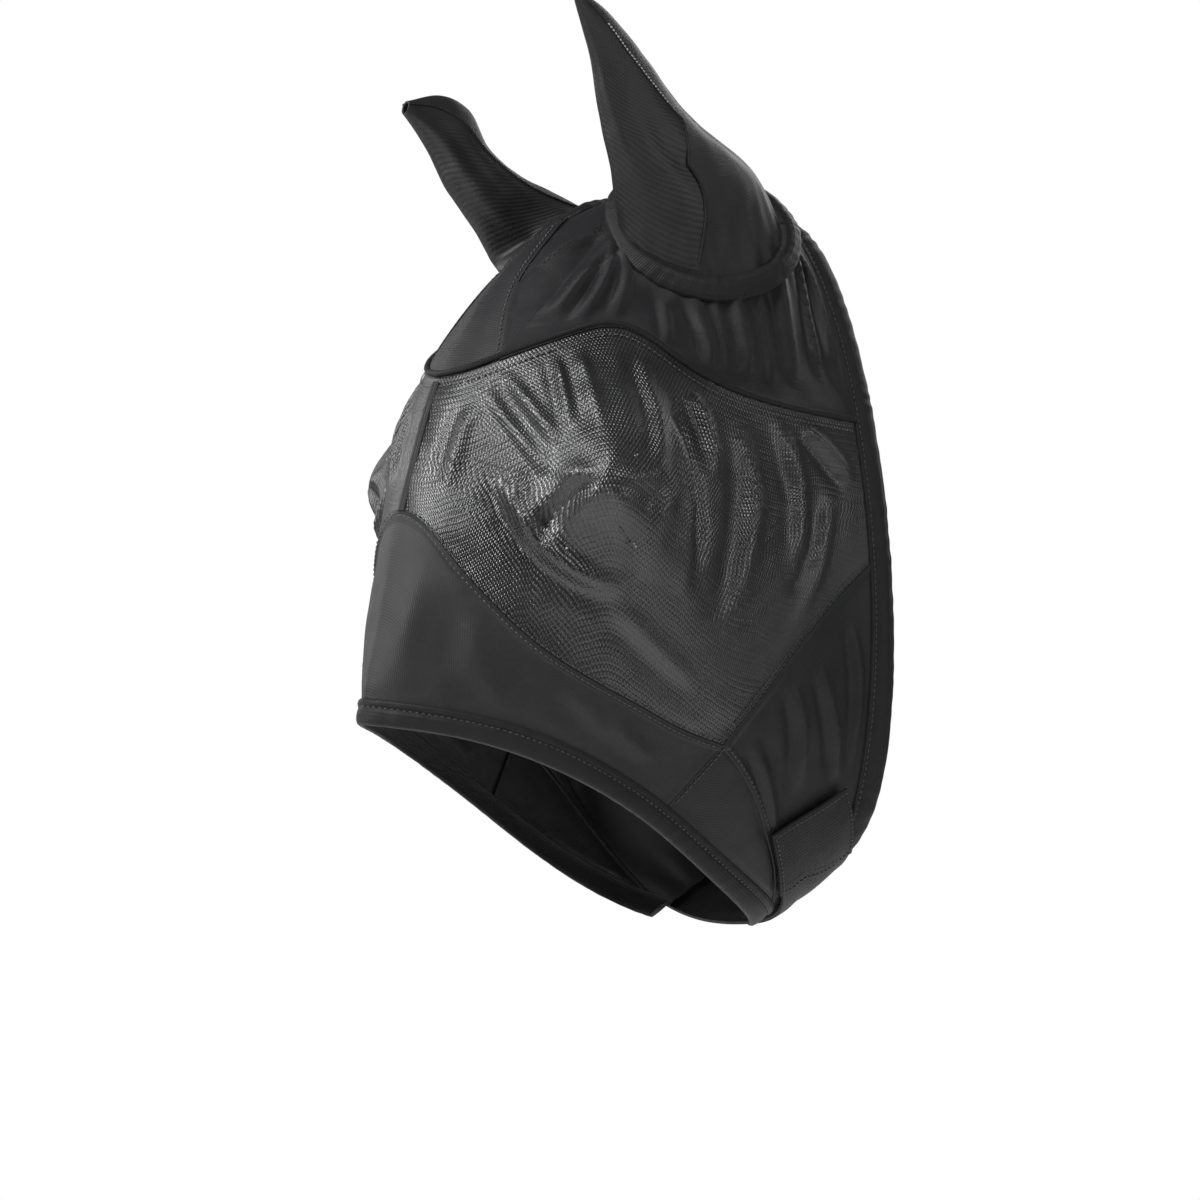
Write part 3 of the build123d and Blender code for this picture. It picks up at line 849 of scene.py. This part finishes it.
def crown(name, ring, side):
    """Crown cloth as rings from under the cuff out to the gusset, strip, band and brow seams."""
    brow_part = resample(brow[bi:], 110)
    back_part = back_line(brow_part[-1, 1], strip_t[-1], 60)
    strip_part = np.stack([strip_fan, strip_t], -1)[::-1]
    join = cross_point(strip_part, gusset_path)
    loop = np.concatenate([brow_part, back_part[1:-1], resample(strip_part[: join[0] + 1], 80),
                           resample(gusset_path[: join[1] + 1][::-1], 40)[1:-1]])
    loop = resample(np.concatenate([loop, loop[:1]]), 261)[:-1]
    turns = np.linspace(0, 360, 360, endpoint=False)
    q = ring_points(ring, turns) * np.array([side, 1, 1])
    fan = np.degrees(np.arctan2(q[:, 2] - PIVOT_Z, -q[:, 1]))
    inner = np.stack([fan, from_across(fan, np.clip(q[:, 0], 0.5, 200), 0.0, 88)], -1)
    scale = np.array([FAN_MM, TURN_MM])
    mid = inner.mean(0)
    angle = np.arctan2(*((loop - mid) * scale).T)
    inner_angle = np.arctan2(*((inner - mid) * scale).T)
    order = np.argsort(inner_angle)

    def wrap(v):
        return np.concatenate([v[order][-1:], v[order], v[order][:1]])
    knots = inner_angle[order]
    knots = np.concatenate([[knots[-1] - 2 * np.pi], knots, [knots[0] + 2 * np.pi]])
    foot = np.stack([np.interp(angle, knots, wrap(inner[:, i])) for i in (0, 1)], -1)
    lifted = np.stack([np.interp(angle, knots, wrap(q[:, i])) for i in range(3)], -1)
    foot = mid + (foot - mid) * 0.97
    reach, room = (np.linalg.norm((v - mid) * scale, axis=1) for v in (foot, loop))
    over = reach / np.maximum(room, 1)
    foot = np.where(over[:, None] > 0.97, mid + (loop - mid) * 0.97, foot)
    r = np.linspace(0, 1, 56)[:, None, None] ** 0.9
    grid = foot[None] * (1 - r) + loop[None] * r
    base = skin(grid[..., 0], grid[..., 1])
    n = facing(grid[..., 0], grid[..., 1])
    away = grid_arcs(base)[1]
    left = away[-1:] - away
    h = FOLD_SCALE * fold_height(base, n, CROWN_FOLDS)
    around = arc(base[8])[None]
    pleat = np.sin(around / 3.1 + 1.6 * noise(base * 0.7, 22)) * (0.5 + 0.5 * noise(base + 15, 26))
    h = h + 0.95 * pleat * np.exp(-(away / 26) ** 2)
    h = h + 0.6 * (noise(base, 30) * 1.4 + noise(base + 50, 12) * 0.6)
    h = h * ease(left / 8)
    pull = np.exp(-(away / 11) ** 2) * ease(left / 9)
    rise = lifted[None] - base[:1] - n[:1] * 2.0
    p = base + n * h[..., None] + rise * pull[..., None]
    p = p * np.array([side, 1, 1])
    ob = cloth("crown_panel_" + name, p[:, ::-1] if side > 0 else p, CLOTH_THICK, wrap=True)
    return dress(ob, "lycra", body="hood", nodes=("crown_panel_" + name,))


crown("left", LEFT_RING, 1)
crown("right", RIGHT_RING, -1)

# ---------------------------------------------------------------- bindings, piping, tape and darts
HEM_PROFILE = (
    (0.0, -0.9), (0.0, 0.4), (0.05, 1.5), (0.16, 1.9), (0.27, 1.55), (0.32, 0.95), (0.37, 1.5), (0.5, 2.0),
    (0.66, 2.3), (0.82, 2.2), (0.94, 1.6), (1.0, 0.5), (1.03, -0.6), (0.97, -1.6), (0.8, -2.0), (0.4, -1.9),
    (0.06, -1.8))
BACK_PROFILE = (
    (0.0, -0.9), (0.0, 0.4), (0.04, 1.2), (0.12, 1.5), (0.18, 0.9), (0.23, 1.3), (0.36, 2.2), (0.52, 2.9),
    (0.70, 3.0), (0.86, 2.4), (0.96, 1.2), (1.0, -0.1), (0.97, -1.3), (0.85, -2.2), (0.5, -2.4), (0.2, -2.0),
    (0.04, -1.8))
OUTER_POINTS = 13  # of a band's profile, on its outer side


def band(name, one, two, gather, profile):
    """A folded binding between two edges, which run the same way."""
    rows = len(profile)
    w = np.array([a for a, b in profile])[:, None]
    off = np.array([b for a, b in profile])[:, None]
    f = one[None, :, 0] * (1 - w) + two[None, :, 0] * w
    t = one[None, :, 1] * (1 - w) + two[None, :, 1] * w
    base = skin(f, t)
    n = facing(f, t)
    s = arc(base[rows // 2])[None]
    puff = gather * (np.sin(s / 1.7 + 3.5 * noise(base * 0.5, 9)) * (0.35 + 0.65 * noise(base + 7, 16))
                     + 0.8 * noise(base + 3, 10))
    p = base + n * (off + np.where(off > 0, puff, 0))[..., None]
    p = np.concatenate([p, p[:1]])
    p = p.transpose(1, 0, 2)
    count, around = p.shape[0], p.shape[1] - 1
    q = p[:, :around]
    faces = grid_faces(count, around, True, flip=True) + end_caps(count, around)
    uv = arc_uv(p)[:, :around]
    uv = uv - uv[:, :1] * np.array([1, 0])
    uv = uv[..., ::-1]
    ob = mesh_object(name, q.reshape(-1, 3), faces, uv.reshape(-1, 2))
    outer = p[:, :OUTER_POINTS]
    ob["w"] = np.linalg.norm(np.diff(outer, axis=1), axis=-1).sum(1).max() * MM
    ob["l"] = np.linalg.norm(np.diff(outer, axis=0), axis=-1).sum(0).max() * MM
    ob["a"] = ob["w"] * ob["l"] * 0.97
    return dress(ob, "binding", body="hood", nodes=(name,))


hem_one, hem_two = whole(resample(hem_top, 330)), whole(resample(hem_low, 330))
band("nose_hem_binding", hem_one, hem_two, 0.22, HEM_PROFILE)

low_turn = float(from_across(np.array([78.0]), GAP_HALF, 91, 180)[0])
turns = np.linspace(-low_turn, low_turn, 700)
inner_band = np.stack([fan_at_y(BACK_Y, turns), turns], -1)
outer_band = np.stack([fan_at_y(-1.0, turns), turns], -1)
band("back_edge_binding", inner_band, outer_band, 0.42, BACK_PROFILE)

raised = seam(tuple((y, z + 2.0) for y, z in BROW))
pipe_path, _ = on_skin(whole(resample(raised, 300)), 0.9)
dress(tube("brow_piping", pipe_path, 1.75, 14, 0.05), "binding", body="hood", nodes=("brow_piping",))

tape_fan = np.linspace(brow[0, 0] - 0.25, nose[0, 0] + 0.1, 90)
TAPE_SHAPE = ((-3.0, 0.15), (-2.4, 0.85), (-1.5, 1.0), (-0.5, 1.15), (0.0, 0.7),
              (0.5, 1.15), (1.5, 1.0), (2.4, 0.85), (3.0, 0.15))
tape_x, tape_rise = np.array(TAPE_SHAPE).T
tape_fans = np.repeat(tape_fan[:, None], len(TAPE_SHAPE), 1)
tape_turn = np.sign(tape_x)[None] * from_across(tape_fans, np.abs(tape_x)[None] + 1e-3, 0.0, 60)
tape_p = skin(tape_fans, tape_turn) + facing(tape_fans, tape_turn) * (tape_rise[None] + 0.3)[..., None]
dress(cloth("centre_seam_tape", tape_p, 0.8), "binding", body="hood", nodes=("centre_seam_tape",))


def path_on_panel(points, count, off):
    """A drawn line lying on the mesh panel's real surface."""
    side = spline(points, count)
    f, t = from_side(side[:, 0], side[:, 1])
    base = skin(f, t)
    flat = mesh_p.reshape(-1, 3)
    near = np.array([np.linalg.norm(flat - b, axis=1).argmin() for b in base])
    n = facing(f, t)
    drop = ((flat[near] - base) * n).sum(-1)
    return base + n * (drop + off)[:, None], n


dart_path, _ = path_on_panel(EYE_DART, 60, 0.35)
dart_r = 0.95 + 0.3 * np.sin(np.linspace(0, 26, 60))
for name, q in (("left", dart_path), ("right", mirrored(dart_path))):
    dress(tube("eye_dart_" + name, q, dart_r, 10, 0.12), "mesh", body="hood", nodes=("eye_dart_" + name,))

# ---------------------------------------------------------------- cuffs and ears
def cuff(name, ring, pinch):
    """Rolled cuff round the foot of an ear, pinched at its front."""
    turn = np.linspace(0, 360, 220, endpoint=False)
    normal = ring_axes(ring)[1]
    centre = ring_points(ring, turn)
    out = unit(centre - np.array(ring[0], float))
    th = np.linspace(0, 2 * np.pi, 22, endpoint=False)
    squeeze = 1 - pinch * np.exp(-((turn - 180) / 24) ** 2)
    wide = 7.6 * squeeze * (1 + 0.08 * np.sin(np.radians(turn * 3) + 1))
    tall = 6.4 * squeeze
    p = (centre[:, None] + out[:, None] * (wide[:, None] * np.cos(th))[..., None]
         + (normal - 0.25 * out)[:, None] * (tall[:, None] * np.sin(th))[..., None])
    ripple = np.sin(np.radians(turn) * 46)[:, None] * (0.5 + 0.5 * noise(p, 18)) * 0.035
    crease = -0.16 * np.exp(-((th - 0.75) / 0.22) ** 2)[None]
    crease = crease + 0.05 * noise(p + 9, 9) + 0.03 * noise(p + 5, 4)
    p = centre[:, None] + (p - centre[:, None]) * (1 + ripple + crease)[..., None]
    count, sides = p.shape[:2]
    last = (count - 1) * sides
    faces = grid_faces(count, sides, True)
    faces += [(i + last, i, (i + 1) % sides, (i + 1) % sides + last) for i in range(sides)]
    s = arc(centre)
    uv = np.stack([np.broadcast_to(v, (count, sides)) for v in (s[:, None], th * 6.2)], -1) * MM
    ob = mesh_object("ear_cuff_" + name, p.reshape(-1, 3), faces, uv.reshape(-1, 2))
    if signed_volume(ob) < 0:
        ob.data.flip_normals()
    ob["w"], ob["l"] = 20 * MM, s[-1] * MM
    ob["a"] = 19 * MM * s[-1] * MM
    return dress(ob, "cuff", body="hood", nodes=("ear_cuff_" + name,))


def signed_volume(ob):
    v = np.array([x.co for x in ob.data.vertices])
    total = 0.0
    for f in ob.data.polygons:
        a, b, c = v[f.vertices[0]], v[f.vertices[1]], v[f.vertices[2]]
        total += np.dot(a, np.cross(b, c))
        if len(f.vertices) == 4:
            total += np.dot(a, np.cross(c, v[f.vertices[3]]))
    return total


cuff("left", LEFT_RING, 0.38)
cuff("right", RIGHT_RING, 0.25)


def ear_rings(ring, base, sections, lens, pulls):
    """Key rings of an ear, from its foot to its tip, each from the back round."""
    th = np.radians(np.arange(0, 360, RING_STEP))
    x, _, y = ring_axes(ring)
    keys = [np.array(ring[0], float)
            + x * (base[0] * np.cos(th))[:, None] + y * (base[1] * np.sin(th))[:, None]]
    for i, (centre, axis, long, wide) in enumerate(sections):
        z = unit(np.array(axis, float))
        ex = -unit(np.cross((1.0, 0, 0), z))
        ey = np.cross(z, ex)
        side = wide * np.sign(np.sin(th)) * np.abs(np.sin(th)) ** lens[i]
        keys.append(np.array(centre, float) + ex * (long * np.cos(th))[:, None] + ey * side[:, None])
    for i, at, vector in pulls:
        near = np.maximum(0, np.cos(th - math.radians(at))) ** 3
        keys[i] = keys[i] + near[:, None] * np.array(vector, float)
    return np.array(keys)


def ear_surface(keys, rows):
    """Rings between the key rings, by a smooth curve through each point of them."""
    mid = keys.mean(1)
    k = arc(mid)
    x = np.linspace(0, k[-1], rows)
    flat = keys.reshape(len(keys), -1)
    rings = np.stack([hermite(x, k, flat[:, i]) for i in range(flat.shape[1])], -1)
    return rings.reshape(rows, -1, 3), x / k[-1]


def ear(name, ring, base, sections, lens, pulls, seams, shape):
    """Front and rear cloth of an ear, joined along two seams that climb to the tip."""
    p, s = ear_surface(ear_rings(ring, base, sections, lens, pulls), 96)
    closed = np.concatenate([p, p[:, :1]], 1)
    body = "ear_" + name
    normal = ring_axes(ring)[1]
    start = np.array(ring[0], float) + normal * 2
    between = ("hood", body, start, start + normal * 24)
    outer = np.interp(s, *seams[0])
    inner = np.interp(s, *seams[1])

    def part(low, high, cols):
        at = low[:, None] + (high - low)[:, None] * np.linspace(0, 1, cols)[None]
        at = at % 360
        k = np.clip((at / RING_STEP).astype(int), 0, RING_COUNT - 1)
        f = at / RING_STEP - k
        rows_i = np.arange(len(s))[:, None]
        # a smooth curve round the ring keeps the cloth from showing facets
        a, b, c, d = (closed[rows_i, (k + i) % RING_COUNT] for i in (-1, 0, 1, 2))
        f = f[..., None]
        q = b + 0.5 * f * (c - a + f * (2 * a - 5 * b + 4 * c - d + f * (3 * (b - c) + d - a)))
        return q, at
    made = []
    halves = (("front", inner, outer, "ear_mesh"), ("rear", outer, inner + 360, "lycra"))
    for label, low, high, look in halves:
        q, at = part(low, high, 90)
        axis = q.mean(1, keepdims=True)
        n = grid_normals(q)
        n = n * np.sign(((q - axis) * n).sum(-1, keepdims=True).mean())
        h = shape(q, at, s[:, None], label)
        q = q + n * h[..., None]
        turned = ((grid_normals(q) * (q - axis)).sum(-1).mean() < 0)
        ob = cloth(f"ear_{label}_{name}", q[:, ::-1] if turned else q, CLOTH_THICK)
        dress(ob, look, nodes=(f"ear_{label}_{name}",), between=between)
        made.append(q)
    front, rear = made
    rail = [(front[:, i] + rear[:, j]) / 2 for i, j in ((-1, 0), (0, -1))]
    for i, path in enumerate(rail):
        radius = np.linspace(1.05, 0.75, len(path) - 4)
        dress(tube(f"ear_seam_{name}_{i + 1}", path[4:], radius, 10, 0.08), "binding", between=between)
    return front, rear, rail, between


def left_shape(q, at, s, label):
    h = 0.7 * noise(q, 26) + 0.35 * noise(q + 20, 11)
    if label == "front":
        h = h + 0.9 * np.exp(-((at - 214) / 9) ** 2) * ease(s * 3) * ease((1 - s) * 3)
        h = h - 2.2 * np.exp(-((at - 262) / 15) ** 2) * ease((s - 0.05) * 4) * ease((0.75 - s) * 2.5)
    else:
        h = h - 1.6 * np.exp(-((at - 335) / 12) ** 2) * ease((s - 0.12) * 5) * ease((0.8 - s) * 3)
    h = h + 0.8 * np.sin(np.radians(at) * 21 + 3 * noise(q, 20)) * np.exp(-(s / 0.12) ** 2) * 0.5
    return h


def right_shape(q, at, s, label):
    h = 0.7 * noise(q + 60, 24) + 0.35 * noise(q + 20, 10)
    h = h + 1.6 * np.exp(-((at - 236) / 12) ** 2) * ease(s * 3) * ease((1.02 - s) * 5)
    h = h - 1.4 * np.exp(-((at - 266) / 14) ** 2) * ease(s * 3) * ease((1 - s) * 4)
    h = h + 0.5 * np.sin(np.radians(at) * 19 + 3 * noise(q, 18)) * np.exp(-(s / 0.14) ** 2)
    return h


ear_front, ear_rear, rail, ear_between = ear(
    "left", LEFT_RING, LEFT_BASE, LEFT_EAR, (1.0, 1.15, 1.25, 1.3, 1.2, 1.0), ((1, 180, (-11, -6, 0)),),
    (((0, 0.3, 0.45, 0.75, 1.0), (250, 264, 300, 282, 272)), ((0, 0.5, 1.0), (48, 42, 60))), left_shape)
ear("right", RIGHT_RING, RIGHT_BASE, RIGHT_EAR, (1.0, 1.1, 1.2, 1.2, 1.1, 1.0),
    ((0, 180, (-6, -6, 2)), (1, 180, (-8, -9, -3)), (4, 0, (0, 4, 6)), (5, 0, (0, 3, 4))),
    (((0, 0.5, 1.0), (308, 312, 300)), ((0, 0.5, 1.0), (52, 48, 60))), right_shape)

# ---------------------------------------------------------------- throat closure
def side_line(a, b, count):
    p = np.linspace(a, b, count)
    f, t = from_side(p[:, 0], p[:, 1])
    return np.stack([f, t], -1)


def at_width(path, x):
    """The point of a traced line nearest to a half width."""
    return np.abs(skin(path[:, 0], path[:, 1])[:, 0] - x).argmin()


def low_curve(x, start, end, count):
    """Under the throat at a fixed half width, between two fans."""
    fan = np.linspace(start, end, count)
    if x <= 0.01:
        return np.stack([fan, np.full(count, 180.0)], -1)
    return np.stack([fan, from_across(fan, x, 91, 180)], -1)


def side_patch(plan, x, nu, nv):
    """Grid on the cheek inside four corners of a side plan, cut at a half width."""
    front, top_a, top_b, back = plan
    one = side_line(top_a, front, 700)
    two = side_line(top_b, back, 700)
    one = one[: at_width(one, x) + 1]
    two = two[: at_width(two, x) + 1]
    low = low_curve(x, one[-1, 0], two[-1, 0], nu)
    left, right = resample(one, nv), resample(two, nv)
    low[0], low[-1] = left[-1], right[-1]
    upper = resample(side_line(top_a, top_b, 200), nu)
    upper[0], upper[-1] = left[0], right[0]
    return coons(upper, low, left, right)


def layer_at(fan, turn, off, wave=0.25):
    base = skin(fan, turn)
    n = facing(fan, turn)
    return base + n * (off + wave * noise(base, 14) + 0.4 * wave * noise(base, 6))[..., None]


TAB_CORNERS = ((-62, -379), (-85, -343), (-33, -318), (-7, -357))
PAD_CORNERS = ((-58, -383), (-79, -344), (-39, -325), (-22, -358))
tab_f, tab_t = side_patch(TAB_CORNERS, HINGE_X - 1.0, 60, 44)
tab_p = layer_at(tab_f, tab_t, 4.9)
tab_between = ("strap", "tab", (HINGE_X - 1.5, *HINGE_YZ), (HINGE_X + 5, *HINGE_YZ))
tab = cloth("closure_tab", tab_p, 1.7)
dress(tab, "binding", nodes=("closure_tab",), between=tab_between)
pad_f, pad_t = side_patch(PAD_CORNERS, 66.5, 44, 34)
dress(cloth("hook_patch", layer_at(pad_f, pad_t, 2.95, 0.06), 1.1), "hook", nodes=("hook_patch",),
      between=tab_between)
dress(cloth("loop_patch", layer_at(pad_f, pad_t, 1.5, 0.06), 1.3), "loop", body="hood",
      nodes=("loop_patch",))
pad_right = mirrored(layer_at(pad_f, pad_t, 2.6, 0.06))
dress(cloth("root_pad", pad_right, 2.2, flip=True), "loop", body="hood", nodes=("root_pad",))
root_f, root_t = side_patch(TAB_CORNERS, HINGE_X + 1.5, 60, 44)
root_p = mirrored(layer_at(root_f, root_t, 4.8))
dress(cloth("strap_root", root_p, 1.6, flip=True), "binding", body="hood", nodes=("strap_root",))

# the strap itself runs under the throat from one hinge line to the other
front_line = side_line((-85, -343), (-62, -379), 500)
front_k = at_width(front_line, HINGE_X + 3)
front_start = front_line[front_k, 0]
back_line_fan = side_line((-33, -318), (-7, -357), 500)
back_start = back_line_fan[at_width(back_line_fan, HINGE_X + 3), 0]
strap_x = np.concatenate([np.linspace(HINGE_X + 3, 6, 60), np.linspace(5, 0.3, 12)])
mix = ease(1 - strap_x / (HINGE_X + 3))[:, None]
fan_front = front_start * (1 - mix) + 35.0 * mix
fan_back = back_start * (1 - mix) + 86.5 * mix
w = np.linspace(0, 1, 40)[None]
strap_fan2 = fan_front * (1 - w) + fan_back * w
strap_turn2 = from_across(strap_fan2, strap_x[:, None] * np.ones_like(w), 91, 180)
half_strap = layer_at(strap_fan2, strap_turn2, 4.9, 0.0)
strap_p2 = np.concatenate([half_strap, mirrored(half_strap)[::-1]])
strap_p2 = strap_p2 + 0.25 * noise(strap_p2, 16)[..., None] * np.array([0, 0.3, 1])
strap = cloth("throat_strap", strap_p2, 1.8)
dress(strap, "binding", nodes=("throat_strap",),
      between=("hood", "strap", (-HINGE_X - 4.5, *HINGE_YZ), (-HINGE_X + 4.5, *HINGE_YZ)))

# ---------------------------------------------------------------- felled seams between the lower panels
for label, path in (("nose", nose), ("cheek", cheek), ("jaw_rear", jaw_rear[: rear_hem[0] + 1]),
                    ("jaw_front", jaw_front[: corner_hem[0] + 1])):
    run, _ = on_skin(resample(path, 120), -0.35)
    for side, q in (("left", run), ("right", mirrored(run))):
        dress(tube(f"{label}_seam_{side}", q, 1.15, 8, 0.05), "lycra", body="hood")

# ---------------------------------------------------------------- stitching
def shifted(path, step, count):
    """A run beside a seam, the step in mm towards smaller turn and larger fan."""
    q = resample(path, count)
    p = skin(q[:, 0], q[:, 1])
    n = facing(q[:, 0], q[:, 1])
    along = unit(np.gradient(p, axis=0))
    side = np.cross(n, along)
    moved = p + side * step
    fan = np.degrees(np.arctan2(moved[:, 2] - PIVOT_Z, -moved[:, 1]))
    out = np.hypot(moved[:, 1], moved[:, 2] - PIVOT_Z)
    turn = bisect(lambda t: wall(fan, t)[1] > out, np.zeros_like(fan), 180)
    return np.stack([fan, turn], -1)


def sew(name, paths, off, both=True):
    """Rows of seam stitches at a height over the form, on one or both sides of the head."""
    runs = []
    for path in paths:
        run = on_skin(path, off)
        runs.append(run)
        if both:
            runs.append(mirror_run(run))
    return dress(stitches(name, runs, *SEAM_STITCH), "thread", body="hood")


sew("brow_stitching", (shifted(brow, -5.2, 200), shifted(brow, 2.0, 200)), 0.35)
sew("gusset_stitching", (shifted(gusset_path, 2.2, 120),), 0.4)
sew("nose_seam_stitching", (shifted(nose, 1.8, 200), shifted(nose, -1.8, 200)), 0.75)
sew("cheek_seam_stitching", (shifted(cheek, 1.8, 200), shifted(cheek, 3.6, 200)), 0.8)
sew("jaw_seam_stitching", (shifted(jaw_rear[: rear_hem[0]], 2.0, 120),
                           shifted(jaw_front[: corner_hem[0]], 2.0, 100)), 0.6)
hem_mid = hem_one * 0.68 + hem_two * 0.32
sew("hem_stitching", (hem_mid,), 1.15, both=False)
band_mid = inner_band * 0.82 + outer_band * 0.18
sew("back_band_stitching", (band_mid,), 1.15, both=False)
# flecks of pale thread round each eye dart, coloured light as painted highlight
SPECKS = (
    ((-228, -136), (-229, -138)), ((-212, -134), (-210, -137)), ((-201, -140), (-197, -138)),
    ((-212, -146), (-212, -150)), ((-212, -158), (-211, -162)), ((-207, -165), (-206, -168)),
    ((-227, -186), (-225, -187)), ((-200, -183), (-198, -186)))
speck_runs = []
for a, b in SPECKS:
    run = path_on_panel((a, b), 8, 0.55)
    speck_runs += [run, mirror_run(run)]
dress(stitches("eye_dart_stitching", speck_runs, 1.9, 1.5, 0.42), "highlight_thread", body="hood")
# pale stitches on part of the left ear's outer seam; their light colour paints the highlight line that runs
# along that seam
highlight_span = slice(50, 84)
seg = rail[0][highlight_span]
out_n = unit(seg - ear_rear.mean(1)[highlight_span] * 0.5 - ear_front.mean(1)[highlight_span] * 0.5)
dress(stitches("ear_stitching_left", [(seg + out_n * 0.9, out_n)], 2.2, 1.5, 0.36), "highlight_thread",
      between=ear_between)


def just_inside(grid):
    """A run round a grid, a little in from its edge."""
    return np.concatenate([grid[3:-2, 2], grid[-3, 3:-2], grid[3:-2, -3][::-1], grid[2, 3:-2][::-1]])


edge, edge_n = just_inside(tab_p), just_inside(grid_normals(tab_p))
if (edge_n[:, 0].mean()) < 0:
    edge_n = -edge_n
dress(stitches("tab_stitching", [(edge + edge_n * 0.12, edge_n)], 3.2, 2.1, 0.3), "thread",
      between=tab_between)

# ---------------------------------------------------------------- stage, lights and camera
AIM = np.array([0.0054, -0.1436, -0.2139])
FLOOR_Z = -0.95


def stage_floor():
    bpy.ops.mesh.primitive_circle_add(vertices=96, radius=2.4, fill_type="NGON", location=(0, 0, FLOOR_Z))
    floor = bpy.context.object
    floor.name = "studio_floor"
    mat = bpy.data.materials.new("studio_floor")
    mat.use_nodes = True
    nt = mat.node_tree
    bsdf = nt.nodes["Principled BSDF"]
    socket(bsdf, Roughness=0.9, Emission_Strength=0.25)
    bsdf.inputs["Emission Color"].default_value = (1, 1, 1, 1)
    bsdf.inputs["Specular IOR Level"].default_value = 0.1
    dust = nt.nodes.new("ShaderNodeTexNoise")
    dust.inputs["Scale"].default_value = 1.5
    ramp = nt.nodes.new("ShaderNodeValToRGB")
    for element, grey in zip(ramp.color_ramp.elements, (0.90, 0.94)):
        element.color = (grey, grey, grey, 1)
    nt.links.new(dust.outputs[0], ramp.inputs[0])
    nt.links.new(ramp.outputs[0], bsdf.inputs["Base Color"])
    floor.data.materials.append(mat)


def area_light(name, place, size, power):
    data = bpy.data.lights.new(name, "AREA")
    data.shape, data.size, data.size_y, data.energy = "RECTANGLE", size[0], size[1], power
    ob = bpy.data.objects.new(name, data)
    bpy.context.scene.collection.objects.link(ob)
    ob.location = place
    ob.rotation_euler = (Vector(AIM) - Vector(place)).to_track_quat("-Z", "Y").to_euler()


stage_floor()
area_light("key_softbox", (-0.30, -2.1, 0.65), (0.5, 1.0), 52)
area_light("side_strip", (2.0, 0.70, 0.45), (0.25, 1.2), 13)
area_light("top_softbox", (0.62, -1.1, 1.35), (0.45, 0.7), 28)
area_light("far_fill", (-1.9, -0.6, 0.5), (0.9, 1.4), 14)
area_light("rear_fill", (-0.6, 1.9, 0.8), (1.2, 1.4), 18)
world = bpy.data.worlds.new("studio")
bpy.context.scene.world = world
world.use_nodes = True
sky = world.node_tree.nodes["Background"]
sky.inputs[0].default_value = (1, 1, 1, 1)
seen = world.node_tree.nodes.new("ShaderNodeLightPath")
level = world.node_tree.nodes.new("ShaderNodeMapRange")
level.inputs["To Min"].default_value, level.inputs["To Max"].default_value = 0.10, 1.0
world.node_tree.links.new(seen.outputs["Is Camera Ray"], level.inputs["Value"])
world.node_tree.links.new(level.outputs[0], sky.inputs[1])
bpy.context.scene.view_settings.view_transform = "Standard"

camera = bpy.data.cameras.new("camera")
camera.sensor_width, camera.lens = 36, 124.2
cam = bpy.data.objects.new("camera", camera)
bpy.context.scene.collection.objects.link(cam)
cam.location = (1.767, -1.622, -0.214)
cam.rotation_euler = (math.radians(90), 0, math.radians(50))
bpy.context.scene.camera = cam
